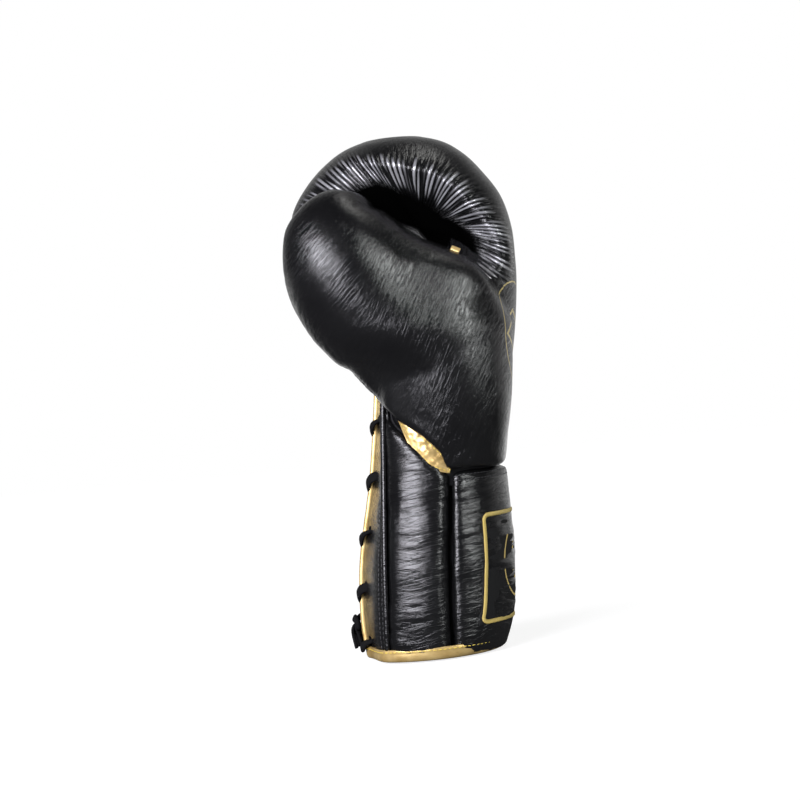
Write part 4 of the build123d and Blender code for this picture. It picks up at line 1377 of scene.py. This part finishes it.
def stitch_row_tree():
    """A node tree that lays one stitch at every pitch along a line of points."""
    tree = bpy.data.node_groups.new("stitch_row", "GeometryNodeTree")
    for name, kind in (
        ("Route", "Geometry"), ("Pitch", "Float"), ("Length", "Float"), ("Thickness", "Float"),
        ("Thread", "Material"),
    ):
        tree.interface.new_socket(name, in_out="INPUT", socket_type=f"NodeSocket{kind}")
    tree.interface.new_socket("Stitches", in_out="OUTPUT", socket_type="NodeSocketGeometry")
    given = tree.nodes.new("NodeGroupInput")

    def step(kind, links, **settings):
        made = tree.nodes.new(kind)
        for key, value in settings.items():
            setattr(made, key, value)
        for key, source in links.items():
            if isinstance(source, bpy.types.NodeSocket):
                tree.links.new(source, made.inputs[key])
            else:
                made.inputs[key].default_value = source
        return made

    line = step("GeometryNodeMeshToCurve", {"Mesh": given.outputs["Route"]})
    spots = step(
        "GeometryNodeCurveToPoints", {"Curve": line.outputs[0], "Length": given.outputs["Pitch"]},
        mode="LENGTH",
    )
    stitch = step("GeometryNodeMeshUVSphere", {"Segments": 8, "Rings": 6, "Radius": 0.5})
    size = step("ShaderNodeCombineXYZ", {
        "X": given.outputs["Thickness"], "Y": given.outputs["Thickness"], "Z": given.outputs["Length"],
    })
    loose = step("FunctionNodeRandomValue", {"Seed": 5}, data_type="FLOAT_VECTOR")
    loose.inputs["Min"].default_value = (-0.1, -0.1, -0.1)
    loose.inputs["Max"].default_value = (0.1, 0.1, 0.1)
    turned_by = step("FunctionNodeEulerToRotation", {"Euler": loose.outputs["Value"]})
    turn = step("FunctionNodeRotateRotation", {
        "Rotation": spots.outputs["Rotation"], "Rotate By": turned_by.outputs[0],
    })
    laid = step("GeometryNodeInstanceOnPoints", {
        "Points": spots.outputs["Points"], "Instance": stitch.outputs["Mesh"],
        "Rotation": turn.outputs[0], "Scale": size.outputs[0],
    })
    real = step("GeometryNodeRealizeInstances", {"Geometry": laid.outputs[0]})
    coloured = step("GeometryNodeSetMaterial", {
        "Geometry": real.outputs[0], "Material": given.outputs["Thread"],
    })
    result = tree.nodes.new("NodeGroupOutput")
    tree.links.new(coloured.outputs[0], result.inputs[0])
    return tree


stitch_row = stitch_row_tree()
stitch_inputs = {
    item.name: item.identifier
    for item in stitch_row.interface.items_tree if item.in_out == "INPUT"
}


def laid_on(piece, points, lift):
    """The points moved to the nearest place on a piece's face, raised by lift millimetres."""
    bpy.context.view_layer.update()
    laid = []
    for point in points:
        _, place, normal, _ = piece.closest_point_on_mesh(Vector(point) * MM)
        laid.append(np.array(place) / MM + lift * np.array(normal))
    return np.array(laid)


def stitched(name, path, finish, pitch, length, thickness):
    """Stitches along a line of points, as one plain mesh."""
    route_mesh = bpy.data.meshes.new(name)
    route_mesh.from_pydata((np.asarray(path) * MM).tolist(), [(i, i + 1) for i in range(len(path) - 1)], [])
    holder = in_scene(name + "_route", route_mesh)
    maker = holder.modifiers.new("stitches", "NODES")
    maker.node_group = stitch_row
    for key, value in (("Pitch", pitch * MM), ("Length", length * MM), ("Thickness", thickness * MM)):
        maker[stitch_inputs[key]] = value
    maker[stitch_inputs["Thread"]] = finish.material
    graph = bpy.context.evaluated_depsgraph_get()
    made = bpy.data.meshes.new_from_object(holder.evaluated_get(graph))
    bpy.data.objects.remove(holder)
    made.polygons.foreach_set("use_smooth", [True] * len(made.polygons))
    return in_scene(name, made)


pieces = bpy.data.objects
rim_turn = np.linspace(-half_opening + 0.03, half_opening - 0.03, 500)
rows = [(
    "binding_stitches", laid_on(binding, on_cuff(rim_turn, 5.9 + 0 * rim_turn, 1.4), 0.05),
    gold_thread, 2.9, 2.2, 0.55, "gold_leather",
)]
for side, name in ((-1, "thumb"), (1, "little_finger")):
    flap_z = np.linspace(8.5, 168.0, 200)
    edge = turn_at_y(flap_edge, flap_z)
    ridge = turn_at_x(ridge_x(flap_z) - 0.2, flap_z)
    flap = pieces[f"lacing_flap_{name}_side_leather"]
    for label, share in (("outer", 0.9), ("inner", 0.79)):
        rows.append((
            f"flap_{name}_side_{label}_stitches",
            laid_on(flap, on_cuff(side * (edge + (ridge - edge) * share), flap_z, 0.8), 0.02),
            black_thread, 2.7, 2.0, 0.42, "black_leather",
        ))
for level in (97.6, 100.4):
    reach = float(turn_at_x(seam_x(level) + 2.5, np.array(level)))
    turn = np.linspace(-reach, reach, 260)
    rows.append((
        f"back_panel_stitches_{round(level)}",
        laid_on(pieces["cuff_back_leather"], on_cuff(turn, level + 0 * turn, 1.0), 0.02),
        black_thread, 2.6, 1.9, 0.45, "black_leather",
    ))
for label, share in (("low", 0.1), ("high", 0.78)):
    x, z = (web_foot + (web_head - web_foot) * share).T
    centre, half_depth, half_width = cuff_oval(z)
    y = -half_width * np.sqrt(1 - ((x - centre) / half_depth) ** 2) - 1.5
    spots = np.stack([x, y, z], -1)
    rows.append((
        f"gusset_stitches_{label}", laid_on(web, spots[4:-1], 0.05),
        gold_thread, 2.3, 1.7, 0.45, "gold_leather",
    ))
for name, line, finish, pitch, length, thickness, slot in rows:
    row = stitched(name, line, finish, pitch, length, thickness)
    if name.startswith("gusset"):
        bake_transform(row)
    else:
        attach(row, "cuff")
